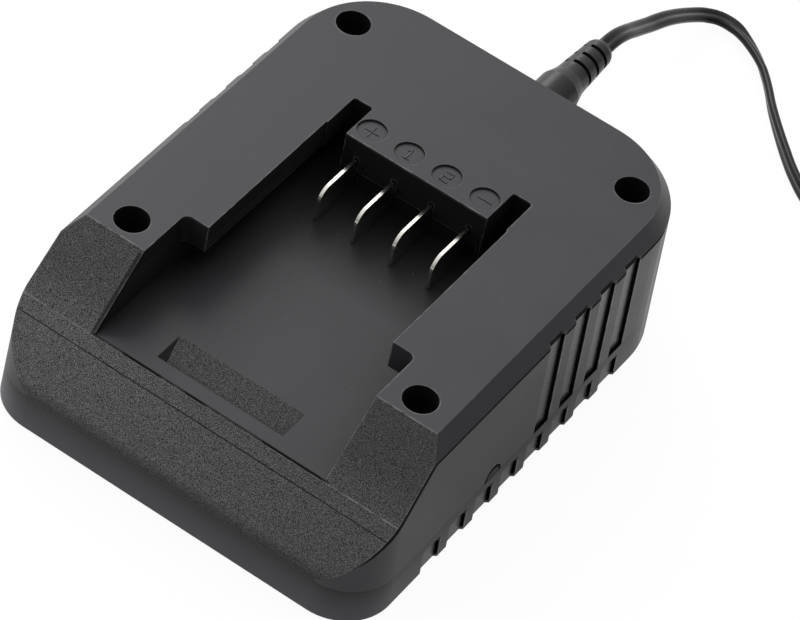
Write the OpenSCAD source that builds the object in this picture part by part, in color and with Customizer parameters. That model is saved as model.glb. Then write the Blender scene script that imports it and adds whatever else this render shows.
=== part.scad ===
// Slide-in charger for a cordless tool battery: a two-piece housing with a railed bay and four blade
// contacts, a circuit board, and a low-voltage lead that plugs into the back and ends in a mains adapter.
// Origin: middle of the housing, on the surface that it stands on. X across, Y towards the lead, Z up.

/* [Housing] */
// Width across the foot of the side walls
body_w = 100; // [94:0.5:112]
// Length from the front to the back at the foot
body_l = 132; // [126:0.5:150]
// Height of the deck over the foot of the walls
body_h = 40; // [38:0.5:46]
// Height of the lower housing, up to the parting line
tray_h = 9; // [8.5:0.5:10.5]
// Thickness of the outer walls
wall = 2.2; // [1.8:0.1:2.6]
// How far each wall leans in between its foot and the bevel
lean_in = 1.5; // [1:0.1:2]
// Radius of the front corners at the foot
front_r = 12.5; // [11:0.5:15]
// Radius of the back corners at the foot
rear_r = 24.5; // [18:0.5:25]
// Width of the bevel round the deck
bevel_w = 3; // [2:0.1:4]
// Height of the bevel round the deck
bevel_h = 4; // [2.5:0.1:4.5]

/* [Nose] */
// From the front of the housing back to the start of the flat deck
slope_l = 26; // [24:0.5:27.5]
// From the front of the housing back to the foot of the slope
slope_foot = 10.7; // [9.5:0.1:12]
// Depth of the slope's foot under the deck
slope_drop = 14.2; // [14:0.1:14.6]
// Width of the narrow facet under the slope, seen from above
facet_l = 2.6; // [2:0.1:3.2]
// Height of that facet
facet_h = 2.8; // [2:0.1:3.4]

/* [Battery bay] */
// Width of the bay between its outer walls
bay_w = 60; // [56:0.5:61]
// Gap between the two rails
rail_gap = 48; // [44:0.5:50]
// Height of the rails' lips
lip_h = 7.5; // [6:0.1:8.5]
// Depth of the bay floor under the deck
bay_drop = 14; // [13:0.1:14]
// Thickness of the bay floor
floor_t = 2.4; // [2:0.1:2.8]
// From the front of the housing back to the rails
rail_start = 40.8; // [38:0.2:44]
// From the front of the housing back to the terminal tongue
tongue_start = 84.5; // [80:0.5:88]
// Length of the side slots beside the tongue
slot_l = 10.4; // [9:0.2:12]
// Width of the tongue
tongue_w = 37.5; // [36.5:0.1:38]
// Half width of the latch pocket in the bay floor
pocket_half = 16.4; // [12:0.2:20]
// Length of the latch pocket
pocket_l = 8; // [6:0.2:10]
// Depth of the latch pocket at its front edge
pocket_drop = 1.6; // [1:0.1:1.8]
// From the front of the housing back to the latch pocket
pocket_start = 15; // [14:0.5:18]

/* [Contacts] */
// Distance from blade to blade
contact_pitch = 10; // [9.5:0.1:10.2]
// Thickness of a blade
contact_t = 0.8; // [0.6:0.1:1]
// Free length of a blade in front of the tongue
contact_l = 14; // [10:0.5:16]
// Depth of a blade's top edge under the deck
contact_drop = 5.5; // [5:0.1:6.5]
// Radius of a blade's front top corner
contact_r = 3.5; // [2:0.1:4.5]

/* [Screws] */
// Distance between the screw wells, side to side
well_pitch_x = 75; // [73:0.5:76]
// Distance between the screw wells, front to back
well_pitch_y = 82.5; // [80:0.5:84]
// From the front of the housing back to the front wells
well_start = 31.5; // [31:0.1:32.5]
// Diameter of a screw well
well_d = 8; // [7:0.1:8.4]
// Height of the shelf that the screw heads sit on, over the foot of the walls
shelf_h = 17.5; // [15:0.5:20]
// Thickness of that shelf
shelf_t = 2.2; // [1.8:0.1:3]
// Diameter of the case screws' shanks
screw_d = 3; // [2.6:0.1:3.4]
// Length of the case screws under the head
screw_l = 13; // [11:0.5:14]
// Diameter of the case screws' heads
head_d = 6.4; // [5.6:0.1:6.6]

/* [Louvres] */
// Distance from louvre to louvre
vent_pitch = 10; // [9:0.2:11]
// Length of one louvre's recess along the wall
vent_l = 5.6; // [4:0.1:6]
// Depth of the recess
vent_drop = 0.7; // [0.5:0.05:0.8]
// Width of the air slot in the recess, before it runs on behind the next panel
vent_slot = 0.5; // [0.3:0.05:0.8]
// Number of louvres in the upper housing, each side
vent_n = 4; // [2:1:5]
// Number of louvres in the lower housing, each side
groove_n = 8; // [4:1:8]
// From the front of the housing back to the last louvre
vent_end = 101.6; // [96:0.2:103]
// How far the lower louvres stand in front of the upper ones
groove_shift = 1; // [0:0.1:2]
// Height of the lower louvres over the foot of the walls
groove_h = 6.8; // [5:0.1:7]

/* [Board and jack] */
// Width of the circuit board
board_w = 62; // [58:1:62]
// Length of the circuit board
board_l = 79; // [76:1:80]
// Thickness of the circuit board
board_t = 1.6; // [1:0.1:2]
// Height of the board's top over the foot of the walls
board_h = 13.6; // [13:0.1:14]
// Height of the plug's axis over the foot of the walls
jack_h = 20; // [19.6:0.1:20.6]
// Outer diameter of the plug's sleeve
plug_d = 5.5; // [5:0.1:5.8]
// Length of the plug's sleeve
plug_l = 9.5; // [8:0.5:10]
// Diameter of the jack's centre pin
pin_d = 2; // [1.6:0.1:2.2]

/* [Plug and lead] */
// Diameter of the plug's grip
grip_d = 10.6; // [9.6:0.1:11.6]
// Length of the plain part of the grip
grip_l = 16.2; // [15:0.1:20]
// Length of the slotted strain relief behind it
relief_l = 18.4; // [17:0.1:20]
// Width of the flat two-core lead
lead_w = 4.2; // [3.8:0.1:4.6]
// Thickness of the lead
lead_t = 2; // [1.8:0.1:2.4]

/* [Feet] */
// Diameter of the rubber feet
foot_d = 9; // [7:0.5:10]
// How far the feet lift the housing
foot_lift = 1; // [0.6:0.1:1.4]
// Depth of the feet's pockets in the tray
foot_sink = 1.2; // [0.8:0.1:1.4]
// Thickness of the tray's floor
tray_t = 2.4; // [2.2:0.1:3]

/* [Adapter] */
// Width of the mains adapter
adapter_w = 44; // [38:1:48]
// Length of the mains adapter
adapter_l = 58; // [50:1:64]
// Thickness of the mains adapter
adapter_h = 30; // [26:1:34]
// Distance between the two mains pins
prong_pitch = 12.7; // [12:0.1:14]

/* [Hidden] */
$fn = 64;
FIT = 0.15; // clearance round pieces that sit in a pocket
EPS = 0.01;

front_y = -body_l / 2;
deck_z = foot_lift + body_h;
bevel_z = deck_z - bevel_h;
split_z = foot_lift + tray_h;
front_cx = body_w / 2 - front_r;
front_cy = front_y + front_r;
rear_cx = body_w / 2 - rear_r;
rear_cy = body_l / 2 - rear_r;
lean_angle = atan(lean_in / (bevel_z - foot_lift));

bay_z = deck_z - bay_drop;
rail_y = front_y + rail_start;
tongue_y = front_y + tongue_start;
slot_end = tongue_y + slot_l;
slot_gap = 0.3; // the side slots stop this short of the rails' inner faces
slot_r = 0.8; // rounding of the side slots' far corners
lip_r = 1.8; // rounding between a rail's front end and the bay wall

well_x = well_pitch_x / 2;
well_y = [front_y + well_start, front_y + well_start + well_pitch_y];
shelf_z = foot_lift + shelf_h;
post_r = screw_d / 2 + 2.6;
tube_r = well_d / 2 + 2;
head_h = 2.4;

board_z = foot_lift + board_h;
board_y1 = rear_cy + rear_r - 6.2;
board_y0 = board_y1 - board_l;
peg_x = board_w / 2 - 4;
peg_y = [board_y0 + 4, board_y1 - 4];
peg_screw_d = 2.4;

holder_y0 = tongue_y + wall + 0.25;
holder_y1 = slot_end + wall - 0.4;
tail_y = holder_y0 + 3;
tail_l = 2.5;

jack_z = foot_lift + jack_h;
back_y = body_l / 2 - lean_at(jack_z);
jack_w = 9;
jack_l = 14;
jack_y1 = back_y - wall - 0.4;
jack_y0 = jack_y1 - jack_l;
plug_y = back_y + 0.7;
tip_y = plug_y - plug_l;
grip_end = plug_y + grip_l + relief_l;

lamp_y = front_y + 49.9;
lamp_r = 3.2;
lamp_gap = 0.4; // the lens is this much smaller than its hole

foot_x = body_w / 2 - 13;
foot_y = [front_y + 13, -front_y - 15];

// How far the drafted walls have leaned in at a height, to a thousandth, so that straight and round
// walls meet exactly
function lean_at(z) = round(1000 * lean_in * (z - foot_lift) / (bevel_z - foot_lift)) / 1000;

// Section of a wall whose foot is r out, from z0 up to z1, with the bevel if it reaches that high
function wall_line(r, z0, z1) =
    z1 <= bevel_z
    ? [[r - lean_at(z0), z0], [r - lean_at(z1), z1]]
    : [
        [r - lean_at(z0), z0],
        [r - lean_at(bevel_z), bevel_z],
        [r - lean_at(bevel_z) - bevel_w * (z1 - bevel_z) / bevel_h, z1]
      ];
function mirrored(line) = [for (i = [len(line) - 1:-1:0]) [-line[i].x, line[i].y]];

// Block with the housing's rounded and drafted outline, its walls moved in by inset
module drafted_block(inset, z0, z1) {
    side = wall_line(body_w / 2 - inset, z0, z1);
    translate([0, rear_cy, 0])
        rotate([90, 0, 0])
            linear_extrude(rear_cy - front_cy)
                polygon(concat(side, mirrored(side)));
    drafted_end(front_cx, front_cy, front_r - inset, z0, z1);
    rotate([0, 0, 180])
        drafted_end(rear_cx, -rear_cy, rear_r - inset, z0, z1);
}

// One end of the block: a straight wall between two quarter-round corners
module drafted_end(cx, cy, r, z0, z1) {
    section = concat([[0, z0]], wall_line(r, z0, z1), [[0, z1]]);
    translate([cx, cy, 0])
        rotate([90, 0, -90])
            linear_extrude(2 * cx)
                polygon(section);
    translate([cx, cy, 0])
        rotate([0, 0, -90])
            rotate_extrude(angle = 90)
                polygon(section);
    translate([-cx, cy, 0])
        rotate([0, 0, 180])
            rotate_extrude(angle = 90)
                polygon(section);
}

// Side view of everything behind the sloped and rounded nose, in Y and Z
slope_z = deck_z - slope_drop;
facet_y = front_y + slope_foot - facet_l;
facet_z = slope_z - facet_h;
nose_low = [front_y + 0.25, split_z - 0.2];
nose_mid = [front_y + 0.7, split_z + 5.6];
NOSE_STEPS = 12;
function nose_point(t) = nose_low * pow(1 - t, 2) + nose_mid * 2 * t * (1 - t) + [facet_y, facet_z] * t * t;

module behind_nose(shift_y, shift_z) {
    over = 4;
    rise = slope_drop / (slope_l - slope_foot);
    translate([-body_w, shift_y, shift_z])
        rotate([90, 0, 90])
            linear_extrude(2 * body_w)
                polygon(concat(
                    [[body_l, -over], [nose_low.x, -over]],
                    [for (i = [0:NOSE_STEPS]) nose_point(i / NOSE_STEPS)],
                    [
                        [facet_y + 0.22, facet_z - 0.02],
                        [facet_y + 0.2, facet_z + 0.22],
                        [front_y + slope_foot, slope_z],
                        [front_y + slope_l + over / rise, deck_z + over],
                        [body_l, deck_z + over]
                    ]
                ));
}

// Box given by its lowest and highest corners
module span(low, high) {
    translate(low)
        cube(high - low);
}

// Box that is the same on both sides of the middle
module wide(half, y0, y1, z0, z1) {
    span([-half, y0, z0], [half, y1, z1]);
}

module both_sides() {
    children();
    mirror([1, 0, 0])
        children();
}

module at_wells() {
    for (sx = [-1, 1], y = well_y)
        translate([sx * well_x, y, 0])
            children();
}

module at_pegs() {
    for (sx = [-1, 1], y = peg_y)
        translate([sx * peg_x, y, 0])
            children();
}

// Upper housing ------------------------------------------------------------------------------

module upper_outline() {
    intersection() {
        drafted_block(0, split_z, deck_z);
        behind_nose(0, 0);
    }
}

module upper_cavity() {
    intersection() {
        drafted_block(wall, split_z - 1, deck_z - wall);
        behind_nose(wall, -0.6 * wall);
    }
}

// Open space of the bay: between the rails, under their lips and in the side slots
module bay_space() {
    high = deck_z + 1;
    lead_end = rail_y - lip_r;
    far = front_y - 5;
    difference() {
        union() {
            wide(rail_gap / 2, far, slot_end, bay_z, high);
            wide(bay_w / 2, far, slot_end, bay_z, deck_z - lip_h);
            wide(bay_w / 2, far, lead_end, bay_z, high);
            wide(bay_w / 2 - lip_r, far, rail_y, bay_z, high);
            both_sides()
                translate([bay_w / 2 - lip_r, lead_end, bay_z])
                    cylinder(r = lip_r, h = high - bay_z);
        }
        wide(tongue_w / 2, tongue_y, slot_end + 1, bay_z - 1, high + 1);
        both_sides() {
            span([rail_gap / 2 - slot_gap, tongue_y, deck_z - lip_h], [bay_w / 2, slot_end + 1, high + 1]);
            slot_corner(tongue_w / 2, 1, bay_z);
            slot_corner(rail_gap / 2 - slot_gap, -1, deck_z - lip_h);
        }
    }
}

// Web left in a far corner of a side slot; way is 1 where the slot lies to the right of x
module slot_corner(x, way, z0) {
    difference() {
        translate([x + (way - 1) / 2 * slot_r - way * EPS, slot_end - slot_r, z0])
            cube([slot_r, slot_r + 1, body_h]);
        translate([x + way * slot_r, slot_end - slot_r, z0 - 1])
            cylinder(r = slot_r, h = body_h + 2);
    }
}

// Ramp in the bay floor that the battery's latch drops into
module latch_pocket() {
    y0 = front_y + pocket_start;
    translate([-pocket_half, 0, 0])
        rotate([90, 0, 90])
            linear_extrude(2 * pocket_half)
                polygon([
                    [y0, bay_z + 1],
                    [y0, bay_z - pocket_drop],
                    [y0 + pocket_l, bay_z],
                    [y0 + pocket_l, bay_z + 1]
                ]);
}

// Plan of a louvre: the recess, and the slot that runs on behind the thin edge of the next panel.
// The origin is that edge, X points out of the wall
VENT_RUN = 1.4;
VENT_EDGE = 0.12;
vent_path = [
    [-VENT_EDGE, 0], [-VENT_EDGE - 0.5, VENT_RUN], [-wall - 1.5, VENT_RUN],
    [-wall - 1.5, -vent_slot], [-vent_drop, -vent_slot]
];
vent_recess = [[-vent_drop, -vent_l], [3, -vent_l], [3, 0], [-VENT_EDGE, 0], [-vent_drop, -vent_slot]];

// Places something at each louvre: height is where the wall's surface is taken, z runs up the wall
module at_vents(count, shift, height) {
    for (i = [0:count - 1])
        both_sides()
            translate([body_w / 2 - lean_at(height), front_y + vent_end - shift - i * vent_pitch, height])
                rotate([0, -lean_angle, 0])
                    children();
}

module vent_cuts() {
    at_vents(vent_n, 0, split_z) {
        translate([0, 0, -1])
            linear_extrude(body_h)
                polygon(vent_recess);
        translate([0, 0, -1])
            linear_extrude(bevel_z - split_z + 1)
                polygon(vent_path);
    }
}

// Half round standing on the parting line, from x0 out to x1
module lamp_shape(r, x0, x1, under) {
    intersection() {
        translate([x0, lamp_y, split_z])
            rotate([0, 90, 0])
                cylinder(r = r, h = x1 - x0);
        span([x0 - 1, lamp_y - r - 1, split_z - under], [x1 + 1, lamp_y + r + 1, split_z + r + 1]);
    }
}

// Shallow round recesses in the tongue, one over each contact
module tongue_marks() {
    for (i = [0:3])
        translate([(i - 1.5) * contact_pitch, tongue_y + 4.6, deck_z - 0.45])
            cylinder(r = 3.45, h = 2);
}

// Step in the tongue's front face, under its upper half
module tongue_step() {
    wide(tongue_w / 2 - 1.2, tongue_y - 1, tongue_y + 0.6, bay_z, deck_z - 9);
}

module upper_housing() {
    color([0.16, 0.16, 0.17])
        difference() {
            union() {
                difference() {
                    upper_outline();
                    upper_cavity();
                }
                intersection() {
                    upper_outline();
                    union() {
                        bay_tub();
                        at_wells()
                            translate([0, 0, shelf_z - shelf_t])
                                cylinder(r = tube_r, h = deck_z);
                        deck_ribs();
                    }
                }
            }
            bay_space();
            latch_pocket();
            tongue_hollow();
            tongue_marks();
            tongue_step();
            contact_slits();
            at_wells() {
                translate([0, 0, shelf_z])
                    cylinder(d = well_d, h = body_h);
                translate([0, 0, split_z])
                    cylinder(d = screw_d + 0.5, h = body_h);
            }
            vent_cuts();
            lamp_shape(lamp_r, body_w / 2 - 6, body_w / 2 + 2, 1);
            translate([0, back_y + 3, jack_z])
                rotate([90, 0, 0])
                    cylinder(d = jack_w - 1, h = wall + 6);
            difference() {
                drafted_block(wall / 2, split_z - 1, split_z + 1.8);
                drafted_block(wall + 1, split_z - 2, split_z + 3);
            }
        }
}

// Walls and floor round the bay; the rails are hollow from outside
module bay_tub() {
    difference() {
        wide(bay_w / 2 + wall, front_y - 1, slot_end + wall, bay_z - floor_t, deck_z);
        both_sides()
            span(
                [rail_gap / 2 + wall, rail_y + wall, deck_z - lip_h + wall],
                [bay_w, slot_end + wall + 1, deck_z - wall]
            );
    }
}

module deck_ribs() {
    for (sx = [-1, 1], x = [12, 25])
        span([sx * x - 0.6, slot_end, deck_z - wall - 2.5], [sx * x + 0.6, -front_y - wall, deck_z - 1]);
}

// Space under the tongue for the terminal holder
module tongue_hollow() {
    wide(tongue_w / 2 - wall, tongue_y + wall, slot_end + wall + 1, bay_z - floor_t - 1, deck_z - wall);
}

module contact_slits() {
    for (i = [0:3])
        translate([(i - 1.5) * contact_pitch, 0, 0])
            wide(contact_t / 2 + 0.2, tongue_y - 1, tongue_y + wall + 1, bay_z, deck_z - contact_drop + 0.4);
}

// Lower housing ------------------------------------------------------------------------------

module lower_housing() {
    color([0.14, 0.14, 0.15])
        difference() {
            union() {
                difference() {
                    union() {
                        drafted_block(0, foot_lift, split_z);
                        locating_lip();
                    }
                    drafted_block(wall, foot_lift + tray_t, split_z + 3);
                }
                at_wells()
                    translate([0, 0, foot_lift + 1])
                        cylinder(r = post_r, h = shelf_z - shelf_t - foot_lift - 1);
                at_pegs()
                    translate([0, 0, foot_lift + 1])
                        cylinder(d = peg_screw_d + 3.4, h = board_z - board_t - foot_lift - 1);
                floor_ribs();
            }
            at_wells()
                translate([0, 0, shelf_z - screw_l - 1])
                    cylinder(d = screw_d + 0.2, h = body_h);
            at_pegs()
                translate([0, 0, foot_lift + tray_t])
                    cylinder(d = peg_screw_d + 0.2, h = body_h);
            groove_cuts();
            ledge_cuts();
            for (sx = [-1, 1], y = foot_y)
                translate([sx * foot_x, y, foot_lift - 1])
                    cylinder(d = foot_d + 2 * FIT, h = foot_sink + 1);
        }
}

// Rim that reaches up inside the upper housing, open at the louvres and the lamp
module locating_lip() {
    difference() {
        drafted_block(wall / 2 + 0.1, split_z - 1, split_z + 1.6);
        wide(body_w, front_y + vent_end - vent_n * vent_pitch, front_y + vent_end + 2, split_z, split_z + 3);
        span([0, lamp_y - lamp_r - 1, split_z], [body_w, lamp_y + lamp_r + 1, split_z + 3]);
    }
}

module floor_ribs() {
    rib_top = foot_lift + tray_t + 1.6;
    for (y = [front_y + 24, front_y + 44, front_y + 84])
        wide(body_w / 2 - wall, y - 0.6, y + 0.6, foot_lift + 1, rib_top);
    for (x = [-12, 12])
        span([x - 0.6, front_y + wall, foot_lift + 1], [x + 0.6, -front_y - wall, rib_top]);
}

// Louvres in the foot of the side walls: the recess runs out at its front and top
module groove_cuts() {
    top = groove_h;
    ramp = 1.6;
    at_vents(groove_n, groove_shift, foot_lift) {
        intersection() {
            translate([0, 0, -1])
                linear_extrude(top + 1)
                    polygon([
                        [3, -vent_l - 1], [0.1, -vent_l - 1], [-vent_drop, -vent_l + 0.5],
                        [-vent_drop, -vent_slot], [-VENT_EDGE, 0], [3, 0]
                    ]);
            translate([0, 1, 0])
                rotate([90, 0, 0])
                    linear_extrude(vent_l + 3)
                        polygon([[3, -1], [-vent_drop, -1], [-vent_drop, top - ramp], [0.1, top], [3, top]]);
        }
        translate([0, 0, 0.7])
            linear_extrude(top - ramp - 0.7)
                polygon(vent_path);
    }
}

// Groove along the rim under each upper louvre, so that the air slot turns the corner at its foot
module ledge_cuts() {
    at_vents(vent_n, 0, split_z)
        translate([0, VENT_RUN, 0])
            rotate([90, 0, 0])
                linear_extrude(vent_l + VENT_RUN)
                    polygon([
                        [-VENT_EDGE, 0.5], [-VENT_EDGE, 0], [-0.45, -1.2],
                        [-vent_drop, -1.2], [-vent_drop, 0.5]
                    ]);
}

// Fasteners and feet -------------------------------------------------------------------------

// Cross-recessed screw standing on z = 0, its shank downwards
module cross_screw(head, shank, head_height, length) {
    difference() {
        union() {
            cylinder(d = head, h = head_height);
            translate([0, 0, -length])
                cylinder(d = shank, h = length + EPS);
        }
        for (a = [0, 90])
            rotate([0, 0, a])
                wide(0.3 * head, -0.06 * head, 0.06 * head, 0.45 * head_height, head_height + 1);
    }
}

module case_screws() {
    color("silver")
        at_wells()
            translate([0, 0, shelf_z])
                cross_screw(head_d, screw_d, head_h, screw_l);
}

module board_screws() {
    color("silver")
        at_pegs()
            translate([0, 0, board_z])
                cross_screw(2 * peg_screw_d, peg_screw_d, 1.6, 7);
}

module rubber_foot(sx, y) {
    color([0.08, 0.08, 0.08])
        translate([sx * foot_x, y, 0])
            cylinder(d = foot_d, h = foot_lift + foot_sink);
}

// Contacts and board -------------------------------------------------------------------------

// Blade contact: a plate with a rounded front corner and a tail down through the board
module blade_contact(i) {
    y0 = tongue_y - contact_l;
    y1 = holder_y1 - 1;
    top = deck_z - contact_drop;
    low = bay_z + 0.2;
    color([0.8, 0.8, 0.78])
        translate([(i - 1.5) * contact_pitch - contact_t / 2, 0, 0])
            rotate([90, 0, 90])
                linear_extrude(contact_t)
                    union() {
                        translate([y0, low])
                            square([y1 - y0, top - contact_r - low]);
                        translate([y0 + contact_r, low])
                            square([y1 - y0 - contact_r, top - low]);
                        translate([y0 + contact_r, top - contact_r])
                            circle(r = contact_r);
                        translate([tail_y, board_z - board_t - 0.8])
                            square([tail_l, low - board_z + board_t + 1]);
                    }
}

// Block on the board that holds the four blades
module terminal_holder() {
    half = tongue_w / 2 - wall - 0.25;
    slit = contact_t / 2 + 0.1;
    color([0.2, 0.2, 0.2])
        difference() {
            wide(half, holder_y0, holder_y1, board_z, deck_z - wall - 0.4);
            for (i = [0:3])
                translate([(i - 1.5) * contact_pitch, 0, 0]) {
                    wide(slit, holder_y0 - 1, holder_y1 - 0.9, bay_z + 0.1, deck_z - contact_drop + 0.1);
                    wide(slit, tail_y - 0.1, tail_y + tail_l + 0.1, board_z - 1, bay_z + 1);
                }
            for (x = [-1, 0, 1])
                translate([x * contact_pitch, 0, 0])
                    wide(2.6, holder_y0 + 1.6, holder_y1 - 1.6, board_z - 1, deck_z - wall - 4);
        }
}

module circuit_board() {
    color([0.1, 0.35, 0.16])
        difference() {
            wide(board_w / 2, board_y0, board_y1, board_z - board_t, board_z);
            for (i = [0:3])
                translate([(i - 1.5) * contact_pitch, 0, 0])
                    wide(contact_t / 2 + 0.2, tail_y - 0.2, tail_y + tail_l + 0.2, board_z - 5, board_z + 1);
            at_pegs()
                translate([0, 0, board_z - 5])
                    cylinder(d = peg_screw_d + 0.4, h = 10);
        }
}

// Power jack: a square body with a round nozzle that fills the hole in the back wall
module jack_body() {
    bore_d = plug_d + 0.1;
    color([0.1, 0.1, 0.1])
        difference() {
            union() {
                wide(jack_w / 2, jack_y0, jack_y1, board_z, jack_z + jack_w / 2);
                translate([0, jack_y1 - 1, jack_z])
                    rotate([-90, 0, 0])
                        cylinder(d = jack_w - 1.4, h = back_y - jack_y1 + 0.8);
            }
            translate([0, tip_y - 1.5, jack_z])
                rotate([-90, 0, 0])
                    cylinder(d = bore_d, h = body_l);
            translate([0, jack_y0 - 1, jack_z])
                rotate([-90, 0, 0])
                    cylinder(d = pin_d + 0.1, h = body_l);
            jack_spring_room();
        }
}

module jack_spring_room() {
    span([-1.6, jack_y0 + 1, jack_z - jack_w / 2 + 0.4], [1.6, jack_y1 - 1.5, jack_z]);
}

module jack_pin() {
    color("silver") {
        translate([0, jack_y0 - 0.5, jack_z])
            rotate([-90, 0, 0])
                cylinder(d = pin_d, h = jack_l + 0.3);
        span([-1.5, jack_y0 - 0.6, board_z], [1.5, jack_y0 - 0.1, jack_z + 1.2]);
    }
}

// Flat spring under the bore that presses on the plug's sleeve
module jack_spring() {
    low = jack_z - jack_w / 2 + 0.5;
    color("silver")
        translate([-1.4, 0, 0])
            rotate([90, 0, 90])
                linear_extrude(2.8)
                    polygon([
                        [jack_y0 + 1.2, low],
                        [jack_y1 - 1.7, low],
                        [jack_y1 - 1.7, low + 0.4],
                        [jack_y0 + 6, jack_z - plug_d / 2 - 0.15],
                        [jack_y0 + 5, jack_z - plug_d / 2 - 0.15],
                        [jack_y0 + 1.2, low + 0.4]
                    ]);
}

// Lens in the side wall, standing on the lower housing's rim, and the bar that leads the light to it
module lamp_window() {
    reach = body_w / 2 - lean_at(split_z);
    color([0.4, 0.42, 0.42, 0.8]) {
        lamp_shape(lamp_r - lamp_gap, reach - wall - 0.6, reach, 0);
        span(
            [board_w / 2 + 5.3, lamp_y - 1.5, split_z + 0.1],
            [reach - wall - 0.5, lamp_y + 1.5, split_z + 2.6]
        );
    }
}

module status_lamp() {
    under = board_z - board_t;
    color([0.2, 0.9, 0.3, 0.8]) {
        span([board_w / 2 - 0.9, lamp_y - 1.6, under - 3.2], [board_w / 2 + 2.2, lamp_y + 1.6, under]);
        translate([board_w / 2 + 2, lamp_y, under - 1.6])
            rotate([0, 90, 0]) {
                cylinder(d = 2.8, h = 1.2);
                translate([0, 0, 1.2])
                    sphere(d = 2.8);
            }
    }
}

// Room for parts on the board: under the bay's floor, and in the tall space behind the bay
low_room = bay_z - floor_t - board_z;
tall_room = deck_z - wall - board_z;
tall_y = (slot_end + wall + jack_y0) / 2;

module reservoir_capacitor() {
    can_d = 12.5;
    can_h = tall_room - 4.2;
    color([0.15, 0.2, 0.45])
        translate([-peg_x + 7, peg_y[1] - 9, board_z])
            difference() {
                cylinder(d = can_d, h = can_h);
                translate([0, 0, can_h - 0.4])
                    for (a = [0, 60, 120])
                        rotate([0, 0, a])
                            span([-0.32 * can_d, -0.2, 0], [0.32 * can_d, 0.2, 1]);
            }
}

module small_capacitors() {
    can_d = 6.3;
    color([0.15, 0.15, 0.2])
        for (sx = [-1, 1])
            translate([sx * (board_w / 2 - 9), board_y0 + 30, board_z])
                cylinder(d = can_d, h = low_room - 3);
}

module inductor_core() {
    color([0.2, 0.2, 0.2])
        translate([peg_x - 7, peg_y[1] - 11, board_z]) {
            cylinder(d = 14, h = 1.6);
            cylinder(d = 7, h = 12);
            translate([0, 0, 10.4])
                cylinder(d = 14, h = 1.6);
        }
}

module inductor_winding() {
    color([0.75, 0.4, 0.2])
        translate([peg_x - 7, peg_y[1] - 11, board_z + 1.7])
            difference() {
                cylinder(d = 12.4, h = 8.6);
                translate([0, 0, -1])
                    cylinder(d = 7.3, h = 12);
            }
}

module heat_sink() {
    top = board_z + tall_room - 5.2;
    fin_pitch = 5.2;
    color([0.75, 0.75, 0.78]) {
        wide(2 * fin_pitch + 0.6, tall_y - 1, tall_y + 1, board_z, top);
        for (i = [-2:2])
            translate([i * fin_pitch, 0, 0])
                wide(0.6, tall_y + 1 - EPS, tall_y + 5, board_z, top);
    }
}

module power_transistor() {
    top = board_z + tall_room - 6.2;
    color([0.1, 0.1, 0.1]) {
        wide(5, tall_y - 5.2, tall_y - 1, board_z + 4, top - 5);
        wide(5, tall_y - 2.2, tall_y - 1, top - 6, top);
        for (i = [-1:1])
            translate([i * 2.5, 0, 0])
                wide(0.4, tall_y - 3.6, tall_y - 3, board_z, board_z + 4.5);
    }
}

module controller_chip() {
    chip_y = board_y0 + 18;
    color([0.1, 0.1, 0.1]) {
        wide(5, chip_y - 3.75, chip_y + 3.75, board_z + 0.3, board_z + 2.5);
        for (i = [-3:3])
            both_sides()
                translate([0, chip_y + i, 0])
                    span([4.9, -0.2, board_z], [6.2, 0.2, board_z + 0.8]);
    }
}

module fuse() {
    color([0.3, 0.15, 0.1])
        span([-26, tall_y - 7, board_z], [-17, tall_y - 3, board_z + 7]);
}

module surface_parts() {
    pitch = 5;
    color([0.25, 0.22, 0.2])
        for (i = [0:2]) {
            for (y = [board_y0 + 6, board_y0 + 12])
                translate([-20 + i * pitch, y, board_z])
                    cube([3.2, 1.6, 0.6]);
            translate([12 + i * pitch, board_y0 + 8, board_z])
                cube([4, 2.6, 2]);
        }
}

// Plug ---------------------------------------------------------------------------------------

// Ring round the plug's axis, from y0 to y1
module plug_ring(inner_r, outer_r, y0, y1) {
    translate([0, y0, jack_z])
        rotate([-90, 0, 0])
            difference() {
                cylinder(r = outer_r, h = y1 - y0);
                if (inner_r > 0)
                    translate([0, 0, -1])
                        cylinder(r = inner_r, h = y1 - y0 + 2);
            }
}

module plug_sleeve() {
    color([0.8, 0.8, 0.8])
        plug_ring(plug_d / 2 - 0.4, plug_d / 2, tip_y + 0.8, plug_y + 2);
}

module plug_insulator() {
    color([0.1, 0.1, 0.1])
        plug_ring(plug_d / 2 - 1.2, plug_d / 2 - 0.42, tip_y, plug_y + 2);
}

module plug_tip() {
    color([0.8, 0.7, 0.4])
        plug_ring(pin_d / 2 + 0.1, plug_d / 2 - 1.22, tip_y + 0.2, plug_y + 2);
}

// Moulded grip: a plain barrel, a waist, then a slotted strain relief that bends with the lead
module plug_grip() {
    r = grip_d / 2;
    web = 22; // degrees of rubber left between the two slots of a ring
    slot_pitch = 3.7;
    color([0.12, 0.12, 0.12])
        translate([0, plug_y, jack_z])
            rotate([-90, 0, 0])
                difference() {
                    rotate_extrude()
                        polygon([
                            [0, 0],
                            [r - 0.5, 0],
                            [r, 0.5],
                            [r, grip_l],
                            [r * 0.92, grip_l + 1.6],
                            [r * 0.82, grip_l + 3.5],
                            [r * 0.78, grip_l + 5.3],
                            [r * 0.66, grip_l + relief_l - 1.6],
                            [r * 0.6, grip_l + relief_l - 0.7],
                            [r * 0.5, grip_l + relief_l],
                            [0, grip_l + relief_l]
                        ]);
                    for (i = [0:2], turn = [0, 180])
                        translate([0, 0, grip_l + 6.5 + i * slot_pitch])
                            rotate([0, 0, turn - 119 + web / 2])
                                rotate_extrude(angle = 180 - web)
                                    translate([0.48 * r, 0])
                                        square([r, 1.1]);
                    translate([0, 0, -1])
                        cylinder(d = plug_d + 0.04, h = 3);
                }
}

// Lead ---------------------------------------------------------------------------------------

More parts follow.
